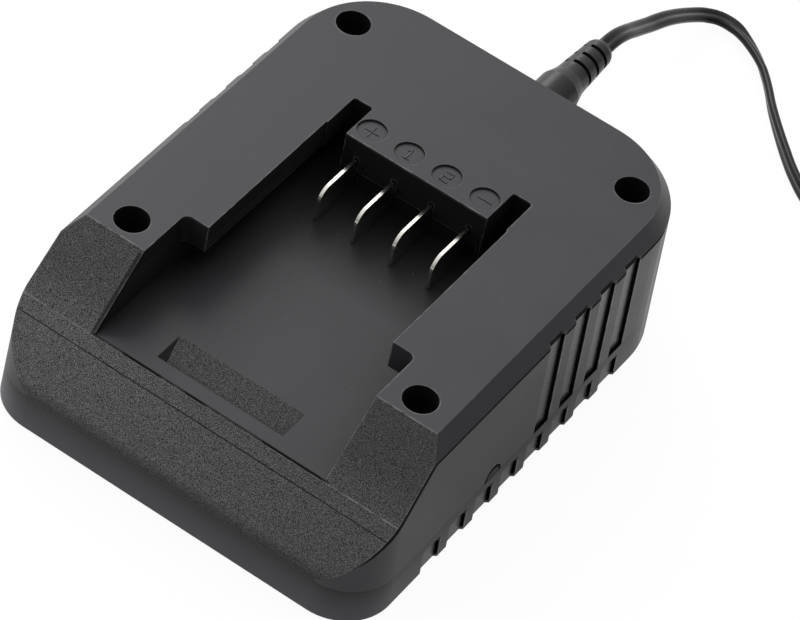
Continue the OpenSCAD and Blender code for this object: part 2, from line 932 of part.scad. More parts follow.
// Route from the plug down to the surface and round to the coil, by hand
lead_y = grip_end - 101.5; // the lead and the adapter follow the plug
coil_x = 117;
coil_y = 80;
turn_pitch = 2.5; // from turn to turn, side by side
layer_pitch = 4.3; // from layer to layer
turns_wide = 4;
layers = 2;
coil_mid_r = 25;
coil_out_r = coil_mid_r + (turns_wide - 1) / 2 * turn_pitch;
flat_z = lead_w / 2 + 0.1;
adapter_x = coil_x + coil_out_r;
adapter_y = -14;
adapter_r = 5;
relief_z = 8;
adapter_split = 12;
relief_end = adapter_y + adapter_l + 20;
ROUTE = [
    [0, 101.5, jack_z], [0, 105, jack_z - 0.1], [0, 109, jack_z - 0.9],
    [0, 113, jack_z - 2.5], [0, 117, jack_z - 4.5], [0.1, 121, jack_z - 6.4],
    [0.3, 125, 12.8], [0.6, 129, 11.3], [1, 133, 9.7], [1.7, 138, 7.4],
    [2.8, 143, 5], [4.4, 147, 3.2], [7.3, 149.6, flat_z], [11.5, 149.6, flat_z],
    [15.6, 148, flat_z], [20.6, 144.9, flat_z], [24.9, 141.3, flat_z], [28.8, 137.1, flat_z],
    [33, 132, flat_z], [38, 126.6, flat_z], [43, 121.6, flat_z], [48, 117, flat_z],
    [54, 112.6, flat_z], [61, 109.6, flat_z], [69, 108.4, flat_z], [78, 108.2, flat_z],
    [88, 108.4, flat_z], [98, 108.6, flat_z], [109, 108.7, flat_z], [coil_x, coil_y + coil_out_r, flat_z]
];
// Roll of the flat lead at some of the route's points: it goes over from lying flat to standing on edge
TWIST = [[11, -10], [13, 4], [14, 32], [16, 70], [20, 90]];
// Way from the coil up to the adapter
TAIL_ROUTE = [
    [adapter_x, 80, flat_z + layer_pitch], [adapter_x, 76, 6.7], [adapter_x, 72, 7.4],
    [adapter_x, relief_end + 4, relief_z], [adapter_x, relief_end, relief_z]
];

function unit(v) = v / norm(v);
function heading(path, i) =
    unit(path[min(i + 1, len(path) - 1)] - path[max(i - 1, 0)]);
// Ring of SIDES points round a route's point: an oval lead_w by lead_t, turned by its twist
SIDES = 8;
function ring(path, i, turn) =
    let (
        along = heading(path, i),
        across = unit(cross(along, [0, 0, 1])),
        up = cross(across, along),
        wide_way = across * cos(turn) + up * sin(turn),
        thin_way = up * cos(turn) - across * sin(turn)
    )
    [
        for (k = [0:SIDES - 1])
            let (a = (k + 0.5) * 360 / SIDES)
            path[i] + wide_way * cos(a) * lead_w / 2 / cos(180 / SIDES)
            + thin_way * sin(a) * lead_t / 2 / cos(180 / SIDES)
    ];

module swept_lead(path, twists) {
    n = len(path);
    points = [for (i = [0:n - 1]) each ring(path, i, twists[i])];
    sides = [
        for (i = [0:n - 2], k = [0:SIDES - 1])
            let (m = (k + 1) % SIDES, near = i * SIDES, far = near + SIDES)
            each [[near + k, far + k, far + m], [near + k, far + m, near + m]]
    ];
    caps = [
        [for (k = [0:SIDES - 1]) k],
        [for (k = [SIDES - 1:-1:0]) (n - 1) * SIDES + k]
    ];
    polyhedron(points, concat(caps, sides));
}

module lead_run() {
    color([0.13, 0.13, 0.13])
        translate([0, lead_y, 0])
            swept_lead(ROUTE, [for (i = [0:len(ROUTE) - 1]) lookup(i, TWIST)]);
}

// Section of one turn in the coil, as wide and high as its share of the coil
module turn_section() {
    w = turn_pitch / 2 + EPS;
    h = layer_pitch / 2 + EPS;
    polygon([
        [-w, -0.4 * h], [-0.4 * w, -h], [0.4 * w, -h], [w, -0.4 * h],
        [w, 0.4 * h], [0.4 * w, h], [-0.4 * w, h], [-w, 0.4 * h]
    ]);
}

// Coil of the spare length, its turns on edge beside and on each other
module lead_coil() {
    reach = (turns_wide - 1) / 2 * turn_pitch;
    color([0.13, 0.13, 0.13])
        translate([coil_x, coil_y + lead_y, 0])
            rotate_extrude() {
                for (i = [0:turns_wide - 1], j = [0:layers - 1])
                    translate([coil_mid_r - reach + i * turn_pitch, flat_z + 0.1 + j * layer_pitch])
                        turn_section();
                translate([coil_mid_r - reach, flat_z])
                    square([2 * reach, (layers - 1) * layer_pitch]);
            }
}

module lead_tail() {
    color([0.13, 0.13, 0.13])
        translate([0, lead_y, 0])
            swept_lead(TAIL_ROUTE, [for (p = TAIL_ROUTE) 90]);
}

// Mains adapter ------------------------------------------------------------------------------

module adapter_block(inset, z0, z1) {
    r = adapter_r - inset;
    w = adapter_w / 2 - inset;
    hull()
        for (x = [-w + r, w - r], y = [adapter_y + inset + r, adapter_y + adapter_l - inset - r])
            translate([adapter_x + x, y + lead_y, z0])
                cylinder(r = r, h = z1 - z0, $fn = 32);
}

module adapter_cover() {
    color([0.12, 0.12, 0.12])
        difference() {
            adapter_block(0, 0, adapter_split);
            adapter_block(2, 2, adapter_split + 1);
            translate([adapter_x, adapter_y + adapter_l - 5 + lead_y, relief_z])
                rotate([-90, 0, 0])
                    cylinder(r = 3.4, h = 10);
        }
}

module adapter_base() {
    color([0.12, 0.12, 0.12])
        difference() {
            adapter_block(0, adapter_split, adapter_h);
            adapter_block(2, adapter_split - 1, adapter_h - 2.5);
            for (sx = [-1, 1])
                translate([adapter_x + sx * prong_pitch / 2, adapter_y + adapter_l / 2 + lead_y, 0])
                    wide(0.8, -3.25, 3.25, adapter_h - 5, adapter_h + 1);
        }
}

module adapter_prong(sx) {
    color([0.8, 0.78, 0.7])
        translate([adapter_x + sx * prong_pitch / 2, adapter_y + adapter_l / 2 + lead_y, 0])
            difference() {
                wide(0.75, -3.15, 3.15, adapter_h - 6, adapter_h + 16);
                translate([-2, 0, adapter_h + 12.5])
                    rotate([0, 90, 0])
                        cylinder(d = 3, h = 4);
            }
}

module adapter_relief() {
    color([0.12, 0.12, 0.12])
        translate([adapter_x, relief_end - 24 + lead_y, relief_z])
            rotate([-90, 0, 0])
                rotate_extrude()
                    polygon([
                        [0, 0], [5, 0], [5, 1.9], [3.25, 1.9], [3.25, 4.2],
                        [4.4, 4.2], [4.4, 8], [3, 24], [0, 24]
                    ]);
}

module adapter_board() {
    color([0.1, 0.35, 0.16])
        translate([adapter_x, lead_y, 0])
            wide(adapter_w / 2 - 4, adapter_y + 4, adapter_y + adapter_l - 9, 2, 3.6);
}

module adapter_transformer() {
    mid = adapter_y + adapter_l / 2 - 3;
    color([0.65, 0.6, 0.2])
        translate([adapter_x, lead_y, 0]) {
            wide(11, mid - 9, mid + 9, 3.6, 19);
            wide(8, mid - 12, mid + 12, 5, 17.5);
        }
}

upper_housing();
lower_housing();
blade_contact(0);  // contact_plus
blade_contact(1);  // contact_sense_a
blade_contact(2);  // contact_sense_b
blade_contact(3);  // contact_minus
terminal_holder();
circuit_board();
jack_body();
jack_pin();
jack_spring();
lamp_window();
status_lamp();
reservoir_capacitor();
small_capacitors();
inductor_core();
inductor_winding();
heat_sink();
power_transistor();
controller_chip();
fuse();
surface_parts();
case_screws();
board_screws();
rubber_foot(-1, foot_y[0]);  // foot_front_left
rubber_foot(1, foot_y[0]);  // foot_front_right
rubber_foot(-1, foot_y[1]);  // foot_rear_left
rubber_foot(1, foot_y[1]);  // foot_rear_right
plug_sleeve();
plug_insulator();
plug_tip();
plug_grip();
lead_run();
lead_coil();
lead_tail();
adapter_relief();
adapter_cover();
adapter_base();
adapter_prong(-1);  // adapter_prong_left
adapter_prong(1);  // adapter_prong_right
adapter_board();
adapter_transformer();
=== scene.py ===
"""Slide-in charger for a cordless tool battery, dressed for rendering. Lengths are metres, or mm where a
comment says so."""

import math
from types import SimpleNamespace

import bpy
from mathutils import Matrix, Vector


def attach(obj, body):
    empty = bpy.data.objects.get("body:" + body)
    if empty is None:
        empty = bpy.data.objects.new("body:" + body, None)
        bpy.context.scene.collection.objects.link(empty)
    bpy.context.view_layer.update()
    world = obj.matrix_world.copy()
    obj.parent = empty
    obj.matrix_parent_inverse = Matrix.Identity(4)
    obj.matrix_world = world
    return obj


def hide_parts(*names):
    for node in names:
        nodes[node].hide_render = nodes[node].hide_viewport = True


MM = 0.001

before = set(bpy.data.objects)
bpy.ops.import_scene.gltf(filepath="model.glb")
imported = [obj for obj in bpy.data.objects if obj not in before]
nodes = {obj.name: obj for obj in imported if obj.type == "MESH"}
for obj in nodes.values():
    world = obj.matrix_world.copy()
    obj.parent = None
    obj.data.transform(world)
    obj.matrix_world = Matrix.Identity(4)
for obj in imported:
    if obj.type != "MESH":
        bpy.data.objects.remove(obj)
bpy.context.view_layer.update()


# Camera -------------------------------------------------------------------------------------

CAMERA_PLACE = (0.3108, -0.6352, 0.7548)
CAMERA_TURN = (43.0215, -8.9177, 34.619)  # degrees
FOCAL, SENSOR = 211.5, 36  # mm
FAR_END = 20


def place_camera():
    lens = bpy.data.cameras.new("camera")
    lens.sensor_width = SENSOR
    lens.lens = FOCAL
    lens.clip_end = FAR_END
    camera = bpy.data.objects.new("camera", lens)
    camera.location = CAMERA_PLACE
    camera.rotation_euler = [math.radians(a) for a in CAMERA_TURN]
    bpy.context.scene.collection.objects.link(camera)
    bpy.context.scene.camera = camera


# Meshes -------------------------------------------------------------------------------------

def new_mesh(name, points, faces, smooth=True):
    mesh = bpy.data.meshes.new(name)
    mesh.from_pydata([tuple(p) for p in points], [], faces)
    mesh.validate()
    for face in mesh.polygons:
        face.use_smooth = smooth
    piece = bpy.data.objects.new(name, mesh)
    bpy.context.scene.collection.objects.link(piece)
    return piece


def smooth_line(points, step):
    """Catmull-Rom curve through the points: pairs of a place on it and its fractional index among them."""
    line = []
    for i in range(len(points) - 1):
        a = points[max(i - 1, 0)]
        b, c = points[i], points[i + 1]
        d = points[min(i + 2, len(points) - 1)]
        count = max(1, round((c - b).length / step))
        for k in range(count):
            t = k / count
            bend, twist = 2 * a - 5 * b + 4 * c - d, 3 * b - a - 3 * c + d
            place = 2 * b + (c - a) * t + bend * t * t + twist * t ** 3
            line.append((0.5 * place, i + t))
    line.append((points[-1], len(points) - 1.0))
    return line


def swept_tube(name, line, turns, outline):
    """Tube along a line, with closed ends. The outline gives a ring's points as (wide, thin) offsets, and
    turns gives the roll of each ring."""
    rings, n = [], len(outline)
    for i, centre in enumerate(line):
        along = (line[min(i + 1, len(line) - 1)] - line[max(i - 1, 0)]).normalized()
        across = along.cross(Vector((0, 0, 1))).normalized()
        up = across.cross(along)
        c, s = math.cos(turns[i]), math.sin(turns[i])
        wide, thin = across * c + up * s, up * c - across * s
        rings += [centre + wide * w + thin * t for w, t in outline]
    faces = [
        (i * n + k, (i + 1) * n + k, (i + 1) * n + (k + 1) % n, i * n + (k + 1) % n)
        for i in range(len(line) - 1) for k in range(n)
    ]
    faces.append(tuple(range(n)))
    faces.append(tuple(len(rings) - n + k for k in reversed(range(n))))
    return new_mesh(name, rings, faces)


# Lead ---------------------------------------------------------------------------------------

# Lengths in mm
LEAD_W, LEAD_T = 4.2, 2.0
WAIST_DEEP, WAIST_WIDE = 0.3, 0.45  # the first is a share of a core's radius
GRIP_END = 100.467
LEAD_SHIFT = GRIP_END - 101.5
FLAT_Z = 2.2
RUN_STEP, TAIL_STEP = 1.0, 2.0

COIL = Vector((117, 80 + LEAD_SHIFT, 0))
COIL_MEAN_R = 25
TURN_PITCH, LAYER_PITCH = 2.5, 4.3
COIL_OUT_R = COIL_MEAN_R + 1.5 * TURN_PITCH
COIL_TURNS, TURNS_BELOW = 8.25, 4
STEP_OVER = 0.2  # the last share of each turn, in which it goes over to the next
ADAPTER_X = COIL.x + COIL_OUT_R

RUN = [
    (0, 101.5, 21), (0, 105, 20.9), (0, 109, 20.1), (0, 113, 18.5), (0, 117, 16.5), (0.1, 121, 14.6),
    (0.3, 125, 12.8), (0.6, 129, 11.3), (1, 133, 9.7), (1.7, 138, 7.4),
    (2.8, 143, 5), (4.4, 147, 3.2), (7.3, 149.6, 2.2), (11.5, 149.6, 2.2),
    (15.6, 148, 2.2), (20.6, 144.9, 2.2), (24.9, 141.3, 2.2), (28.8, 137.1, 2.2),
    (33, 132, 2.2), (38, 126.6, 2.2), (43, 121.6, 2.2), (48, 117, 2.2),
    (54, 112.6, 2.2), (61, 109.6, 2.2), (69, 108.4, 2.2), (78, 108.2, 2.2),
    (88, 108.4, 2.2), (98, 108.6, 2.2), (109, 108.7, 2.2), (117, 108.75, 2.2),
]
TAIL = [
    (ADAPTER_X, 80, 6.5), (ADAPTER_X, 76, 6.7), (ADAPTER_X, 72, 7.4), (ADAPTER_X, 68, 8), (ADAPTER_X, 64, 8),
]
# Roll of the flat lead, in degrees, at some of the run's points
TWIST = ((0, -10), (11, -10), (13, 4), (14, 32), (16, 70), (20, 90), (99, 90))


def roll_at(at):
    """The lead's roll, in radians, at a fractional index of its run."""
    for (i, a), (j, b) in zip(TWIST, TWIST[1:]):
        if at <= j:
            return math.radians(a + (b - a) * (at - i) / (j - i))


def ease(t):
    """A soft start and a soft end, from 0 to 1."""
    t = min(1.0, max(0.0, t))
    return t * t * (3 - 2 * t)


def coil_line(steps_per_turn=36):
    """Eight turns and a quarter, clockwise from above: four inwards below, then four outwards on top."""
    radii = [COIL_OUT_R - TURN_PITCH * k for k in (0, 1, 2, 3, 3, 2, 1, 0, 0)]
    line = []
    for i in range(1, int(COIL_TURNS * steps_per_turn)):
        at = i / steps_per_turn
        turn = int(at)
        step = ease((at - turn - (1 - STEP_OVER)) / STEP_OVER)
        after = radii[min(turn + 1, len(radii) - 1)]
        radius = radii[turn] + (after - radii[turn]) * step
        layer = 1 if turn >= TURNS_BELOW else step if turn == TURNS_BELOW - 1 else 0
        angle = math.radians(90) - at * 2 * math.pi
        height = FLAT_Z + LAYER_PITCH * layer
        line.append(COIL + Vector((radius * math.cos(angle), radius * math.sin(angle), height)))
    return line


def twin_outline(count=36):
    """Two round cores side by side, joined by a web: the shallow waist shows as a line along the lead."""
    r = LEAD_T / 2
    centre = LEAD_W / 2 - r
    ring = []
    for k in range(count):
        a = 2 * math.pi * (k + 0.5) / count
        wide = (centre + r) * math.cos(a)
        near = max(0.0, abs(wide) - centre)
        thin = math.sqrt(max(0.0, r * r - near * near))
        waist = WAIST_DEEP * r * math.exp(-((wide / WAIST_WIDE) ** 2))
        ring.append((wide * MM, math.copysign(thin - waist, math.sin(a)) * MM))
    return ring


def make_lead():
    """The lead from the grip to the adapter: its mesh, the line it follows and that line's length."""
    shift = Vector((0, LEAD_SHIFT, 0))
    first = smooth_line([Vector(p) + shift for p in RUN], RUN_STEP)
    last = smooth_line([Vector(p) + shift for p in TAIL], TAIL_STEP)
    coil = coil_line()
    line = [p for p, at in first] + coil + [p for p, at in last]
    line = [p * MM for p in line]
    turns = [roll_at(at) for p, at in first] + [math.radians(90)] * (len(coil) + len(last))
    lead = swept_tube("twin_lead", line, turns, twin_outline())
    length = sum((b - a).length for a, b in zip(line, line[1:]))
    return lead, line, length


# Signs --------------------------------------------------------------------------------------

# Lengths in mm
CONTACT_PITCH = 10.0
SIGN_FLOOR = 40.55
SIGN_Y = 23.1
STROKE = 0.34
RAISE, ROOTED = 0.16, 0.02
SOFT_IN, SOFT_DOWN = 0.06, 0.05  # the slanted edge round the top of a stroke
END_POINTS = 7
# Strokes of each sign, from end to end
SIGNS = (
    ((-1.7, 0, 1.7, 0), (0, -1.7, 0, 1.7)),
    ((0, -1.5, 0, 1.5), (-0.8, 0.9, 0, 1.5), (-0.7, -1.5, 0.7, -1.5)),
    (
        (-0.9, 1.5, 0.9, 1.5), (0.9, 1.5, 0.9, 0), (0.9, 0, -0.9, 0), (-0.9, 0, -0.9, -1.5),
        (-0.9, -1.5, 0.9, -1.5),
    ),
    ((-1.7, 0, 1.7, 0),),
)


def stroke_points(x0, y0, x1, y1, z0, z1):
    """Bar with round ends from one point to the other: its outline at the foot, where its edge starts to
    slant in, and on top."""
    along = Vector((x1 - x0, y1 - y0, 0)).normalized()
    turn = math.atan2(along.y, along.x)
    half = STROKE / 2
    points = []
    for z, r in ((z0, half), (z1 - SOFT_DOWN, half), (z1, half - SOFT_IN)):
        for end, x, y in ((-1, x0, y0), (1, x1, y1)):
            for k in range(END_POINTS):
                a = turn + math.radians(-90 * end + 180 / (END_POINTS - 1) * k)
                points.append((x + r * math.cos(a), y + r * math.sin(a), z))
    return points


def make_signs():
    """Plus, 1, 2 and minus, raised in the four round recesses of the tongue."""
    points, faces = [], []
    n = 2 * END_POINTS
    for i, strokes in enumerate(SIGNS):
        cx = (i - 1.5) * CONTACT_PITCH
        for x0, y0, x1, y1 in strokes:
            base = len(points)
            ends = (cx + x0, SIGN_Y + y0, cx + x1, SIGN_Y + y1)
            bar = stroke_points(*ends, SIGN_FLOOR - ROOTED, SIGN_FLOOR + RAISE)
            points += [Vector(p) * MM for p in bar]
            for level in range(2):
                low, high = base + level * n, base + (level + 1) * n
                for k in range(n):
                    m = (k + 1) % n
                    faces.append((low + k, low + m, high + m, high + k))
            faces.append(tuple(base + 2 * n + k for k in range(n)))
            faces.append(tuple(base + k for k in reversed(range(n))))
    return new_mesh("contact_signs", points, faces, smooth=False)


# Latch pocket -------------------------------------------------------------------------------

# Lengths in mm
POCKET_END = 16.4
POCKET_FRONT, POCKET_BACK = -51.0, -43.0
POCKET_TOP, POCKET_FLOOR = 27.0, 25.4
CHEEK, CHEEK_HOLLOW, CHEEK_ROOT = 2.1, 0.12, 0.2
CHEEK_STEPS, CHEEK_POINTS = 8, 5
BELOW_RIM = 0.01  # how far the cheeks stay under the bay's floor


def make_pocket_cheeks():
    """Slanted cheek at each end of the latch pocket: it leans in from nothing at the back to its full width
    in front, and is a little hollow."""
    points, faces = [], []
    n = CHEEK_POINTS + 1
    for side in (-1, 1):
        base = len(points)
        for i in range(CHEEK_STEPS + 1):
            t = i / CHEEK_STEPS
            y = POCKET_BACK + (POCKET_FRONT - POCKET_BACK) * t
            floor_z = POCKET_TOP + (POCKET_FLOOR - POCKET_TOP) * t
            for k in range(CHEEK_POINTS):
                u = k / (CHEEK_POINTS - 1)
                hollow = CHEEK_HOLLOW * t * math.sin(math.pi * u)
                x = POCKET_END - CHEEK * t * u + hollow
                points.append((side * x, y, POCKET_TOP + (floor_z - POCKET_TOP) * u - BELOW_RIM))
            points.append((side * (POCKET_END + CHEEK_ROOT), y, floor_z - CHEEK_ROOT))
        for i in range(CHEEK_STEPS):
            for k in range(n):
                a, b = base + i * n + k, base + i * n + (k + 1) % n
                faces.append((a, b, b + n, a + n) if side > 0 else (a, a + n, b + n, b))
        first = [base + k for k in range(n)]
        last = [base + CHEEK_STEPS * n + k for k in range(n)]
        faces.append(tuple(reversed(first)) if side > 0 else tuple(first))
        faces.append(tuple(last) if side > 0 else tuple(reversed(last)))
    return new_mesh("pocket_cheeks", [Vector(p) * MM for p in points], faces, smooth=False)


# Stage --------------------------------------------------------------------------------------

FLOOR_HALF = 6.0


def make_stage():
    """Level floor for the charger to stand on."""
    half = FLOOR_HALF
    mesh = bpy.data.meshes.new("floor")
    corners = [(-half, -half, 0), (half, -half, 0), (half, half, 0), (-half, half, 0)]
    mesh.from_pydata(corners, [], [(0, 1, 2, 3)])
    floor = bpy.data.objects.new("floor", mesh)
    bpy.context.scene.collection.objects.link(floor)
    return floor


def area_light(name, place, target, size, power):
    """Rectangular soft box that looks at its target."""
    lamp = bpy.data.lights.new(name, "AREA")
    lamp.shape = "RECTANGLE"
    lamp.size, lamp.size_y = size
    lamp.energy = power
    piece = bpy.data.objects.new(name, lamp)
    piece.location = place
    piece.rotation_euler = (Vector(target) - Vector(place)).to_track_quat("-Z", "Y").to_euler()
    bpy.context.scene.collection.objects.link(piece)


# Materials ----------------------------------------------------------------------------------

def srgb(code):
    """An sRGB hex colour as linear RGBA."""
    parts = [int(code[i:i + 2], 16) / 255 for i in (1, 3, 5)]
    return [c / 12.92 if c <= 0.04045 else ((c + 0.055) / 1.055) ** 2.4 for c in parts] + [1.0]


def add(tree, kind, links=None, **settings):
    """Adds a node. Settings that name a socket set its value, and links join other nodes' sockets to its
    own, or give one of its sockets a plain value."""
    node = tree.nodes.new("ShaderNode" + kind)
    for key, value in settings.items():
        if hasattr(node, key):
            setattr(node, key, value)
        else:
            node.inputs[key.replace("_", " ")].default_value = value
    for key, source in (links or {}).items():
        if hasattr(source, "is_output"):
            tree.links.new(source, node.inputs[key])
        else:
            node.inputs[key].default_value = source
    return node


def blank(name):
    """An empty material, with its tree and output."""
    material = bpy.data.materials.new(name)
    material.use_nodes = True
    tree = material.node_tree
    tree.nodes.clear()
    return material, tree, add(tree, "OutputMaterial")


def place_in_mm(tree):
    """Object position in millimetres."""
    where = add(tree, "TexCoord")
    return add(tree, "VectorMath", {0: where.outputs["Object"]}, operation="SCALE", Scale=1000).outputs[0]


def dress(names, material):
    """Gives the named pieces one material."""
    for name in names:
        mesh = nodes[name].data
        mesh.materials.clear()
        mesh.materials.append(material)


WHITE = (1, 1, 1, 1)


def white_sweep():
    """White paper sweep: it keeps a soft shadow, and shows as white to the eye and in reflections. In
    reflections it is shaded on the side away from the light and beside the charger's middle."""
    material, tree, out = blank("white paper sweep")
    ray = add(tree, "LightPath").outputs
    bounced = add(
        tree, "Math", {0: ray["Is Glossy Ray"], 1: ray["Is Transmission Ray"]}, operation="MAXIMUM"
    ).outputs[0]
    x, y, _ = add(tree, "SeparateXYZ", {0: place_in_mm(tree)}).outputs
    # ranges in mm: darker away from the light, and darkest beside the charger's middle
    shaded = add(tree, "MapRange", {0: x, 1: -150, 2: 150, 3: 1.0, 4: 0.4}).outputs[0]
    ahead = add(tree, "MapRange", {0: y, 1: -100, 2: 0, 3: 1.15, 4: 0.5}).outputs[0]
    behind = add(tree, "MapRange", {0: y, 1: 20, 2: 80, 3: 0.0, 4: 1.7}).outputs[0]
    along = add(tree, "Math", {0: ahead, 1: behind}, operation="ADD").outputs[0]
    for part in (shaded, along):
        bounced = add(tree, "Math", {0: bounced, 1: part}, operation="MULTIPLY").outputs[0]
    seen = add(tree, "Math", {0: ray["Is Camera Ray"], 1: bounced}, operation="MAXIMUM").outputs[0]
    paper = add(tree, "BsdfDiffuse", Color=srgb("#e6e6e6")).outputs[0]
    glow = add(tree, "Emission", Color=WHITE, Strength=1.045).outputs[0]
    both = add(tree, "MixShader", {1: paper, 2: glow}, Fac=0.9).outputs[0]
    pick = add(tree, "MixShader", {0: seen, 1: paper, 2: both}).outputs[0]
    tree.links.new(pick, out.inputs[0])
    return material


LIGHT_BOX = (-0.66, 0.42, 0.62)  # the way to the middle of the light box


def studio_world():
    """Soft studio: white to the eye, and a broad light box overhead and to the left for everything else."""
    world = bpy.data.worlds.new("studio")
    bpy.context.scene.world = world
    world.use_nodes = True
    tree = world.node_tree
    tree.nodes.clear()
    out = add(tree, "OutputWorld")
    way = add(tree, "TexCoord").outputs["Generated"]
    towards = add(tree, "VectorMath", {0: way, 1: LIGHT_BOX}, operation="DOT_PRODUCT").outputs["Value"]
    level = add(tree, "MapRange", {0: towards, 1: -0.3, 2: 0.9, 3: 0.2, 4: 1.08}).outputs[0]
    ray = add(tree, "LightPath").outputs
    for kind in ("Is Camera Ray", "Is Transmission Ray"):
        level = add(tree, "Math", {0: level, 1: ray[kind]}, operation="MAXIMUM").outputs[0]
    glow = add(tree, "Background", {1: level}, Color=WHITE)
    tree.links.new(glow.outputs[0], out.inputs[0])


# Places on the housing, in mm
PARTING_Z = 10.0  # the joint between its two halves
DECK_Z = 41.0
SLOPE_END = -39.9  # where the grained nose ends at the deck
CREASES = ((-55.3, 26.8), (-40.0, DECK_Z))  # (y, z) of the nose's two upper edges
# A point (y, z) of each of the nose's two upper planes, and its normal
NOSE_PLANES = (((-40.0, DECK_Z), (0, -0.680, 0.733)), ((-55.3, 26.8), (0, -0.733, 0.680)))
BEVEL_Z = 36.85  # just under the bevel's foot
WALL_X, WALL_LEAN = 50.04, 0.0417  # the side wall's foot, and how far it leans in for each mm up
OUTER_X = 47.2  # the side walls are beyond it
BAY_HALF, BAY_WIDENS = 31.0, -25.0  # just past the bay's side walls, and where its rails end
BAY_RIM, WELL_RIM = 40.4, 40.7  # just below the rims of the bay and of the wells
FLOOR_FRONT = (-55.1, 27.0)  # (y, z) of the front edge of the bay's floor
TONGUE_Y, SLOTS_END = 18.5, 45.0  # the tongue's face, and the ends of the slots beside it
SIGNS_FROM, SIGNS_HALF = 18.9, 20.0  # the part of the tongue's top that holds the signs
WELL_X, WELL_MID_Y, WELL_HALF_Y, WELL_R = 37.5, 6.75, 41.25, 4.06  # the four wells' axes and radius
SLACK, CLEAR = 0.1, 0.3  # how far past an edge a mask ends: close to it, and clear of it

# How far a face is turned towards x, y or z, as that part of its normal
WALL_TURN = 0.98  # more of x: a flat side wall
STEEP_TURN = 0.6  # more of x or y: a steep wall
BESIDE_TURN = 0.5  # more of x: a side wall or the outer half of a corner
UPRIGHT_TURN = 0.3  # less of z: an upright wall, not the bevel
END_TURN = 0.2  # more of x: an end of the pocket
FORWARD_TURN = 0.12  # more of y: a face of the nose
STRAIGHT_TURN = 0.05  # less of x: a face that runs straight across

BUMP_UNIT = 0.02 * MM
STEP = 90  # height of the step at the dark lines, in bump units
# colour of the painted shade lines
SHADE_LINE_BLACK = "#0e0e0f"


def where_all(tree, *tests):
    """Mask of the places where every test holds. A test is a value, < or >, and a limit, or it is another
    mask, which may be soft."""
    mask = None
    for test in tests:
        if isinstance(test, tuple):
            value, sign, limit = test
            order = "LESS_THAN" if sign == "<" else "GREATER_THAN"
            test = add(tree, "Math", {0: value, 1: limit}, operation=order).outputs[0]
        if mask is None:
            mask = test
        else:
            mask = add(tree, "Math", {0: mask, 1: test}, operation="MULTIPLY").outputs[0]
    return mask


def places_on_housing(tree):
    """Where on the housing a place is, in mm, and how far its face is turned to x, y and z."""
    where = place_in_mm(tree)
    x, y, z = add(tree, "SeparateXYZ", {0: where}).outputs
    shape = add(tree, "NewGeometry").outputs["True Normal"]
    to_x, to_y, to_z = add(tree, "SeparateXYZ", {0: shape}).outputs
    far = add(tree, "Math", {0: x}, operation="ABSOLUTE").outputs[0]
    side = add(tree, "Math", {0: to_x}, operation="ABSOLUTE").outputs[0]
    off = add(tree, "Math", {0: z, 1: PARTING_Z}, operation="SUBTRACT").outputs[0]
    off = add(tree, "Math", {0: off}, operation="ABSOLUTE").outputs[0]
    wall = where_all(tree, (side, ">", WALL_TURN))
    outer = where_all(tree, (far, ">", OUTER_X), wall)
    return SimpleNamespace(
        where=where, x=x, y=y, z=z, to_x=to_x, to_y=to_y, to_z=to_z, far=far, side=side, off=off, wall=wall,
        outer=outer,
    )


def from_edge(tree, at, y, z):
    """How far a place is from the edge that runs across the charger at y and z."""
    away = add(tree, "VectorMath", {0: at.where, 1: (0, y, z)}, operation="SUBTRACT").outputs[0]
    away = add(tree, "VectorMath", {0: away, 1: (0, 1, 1)}, operation="MULTIPLY").outputs[0]
    return add(tree, "VectorMath", {0: away}, operation="LENGTH").outputs["Value"]


def cover(tree, look, mask, code, roughness):
    """Gives the masked places a colour and a roughness of their own."""
    look.colour = add(tree, "MixRGB", {0: mask, 1: look.colour, 2: srgb(code)}).outputs[0]
    look.rough = add(tree, "MapRange", {0: mask, 3: look.rough, 4: roughness}).outputs[0]


def plain_skin(tree, at):
    """The skin as it leaves the mould: its colour, roughness and height, and the mask of the edges that get a
    painted highlight.
    """
    # slow flow marks, 17 mm apart
    flow = add(tree, "TexNoise", {"Vector": at.where}, Scale=0.06, Detail=2).outputs[0]
    tone = add(tree, "ValToRGB", {0: flow})
    dark, light = tone.color_ramp.elements
    dark.position, light.position = 0.35, 0.65
    dark.color, light.color = srgb("#343337"), srgb("#39383c")
    rough = add(tree, "MapRange", {0: flow, 1: 0.3, 2: 0.7, 3: 0.4, 4: 0.46}).outputs[0]
    # fine pores of the polished mould, 0.15 mm apart
    pores = add(tree, "TexNoise", {"Vector": at.where}, Scale=6.5, Detail=2).outputs[0]
    # outer edges for the painted highlight, in a line 0.3 mm wide that keeps clear of the joint
    edge = add(tree, "AmbientOcclusion", inside=True, only_local=True, samples=6, Distance=0.35 * MM)
    edge = add(tree, "MapRange", {0: edge.outputs["AO"], 1: 0.93, 2: 0.6, 3: 0.0, 4: 1.0}).outputs[0]
    clear = add(tree, "MapRange", {0: at.off, 1: 0.6, 2: 1.2}).outputs[0]
    edge = where_all(tree, edge, clear)
    return SimpleNamespace(colour=tone.outputs[0], rough=rough, height=pores, edge=edge)


def joint_line_and_foot_reflection(tree, at, look, lower):
    """Thin dark joint line between the two halves. A painted floor reflection runs up the lower one's walls,
    pale at the foot and dark at the joint.
    """
    levels = [add(tree, "MapRange", {0: at.off, 1: 0.08, 2: 0.2, 3: 0.45, 4: 1.0})]
    if lower:
        # painted floor reflection: pale at the foot, dark at the joint
        levels.append(add(tree, "MapRange", {0: at.z, 1: 1.5, 2: PARTING_Z, 3: 2.2, 4: 0.35}))
    for level in levels:
        look.colour = add(
            tree, "VectorMath", {0: look.colour, "Scale": level.outputs[0]}, operation="SCALE"
        ).outputs[0]


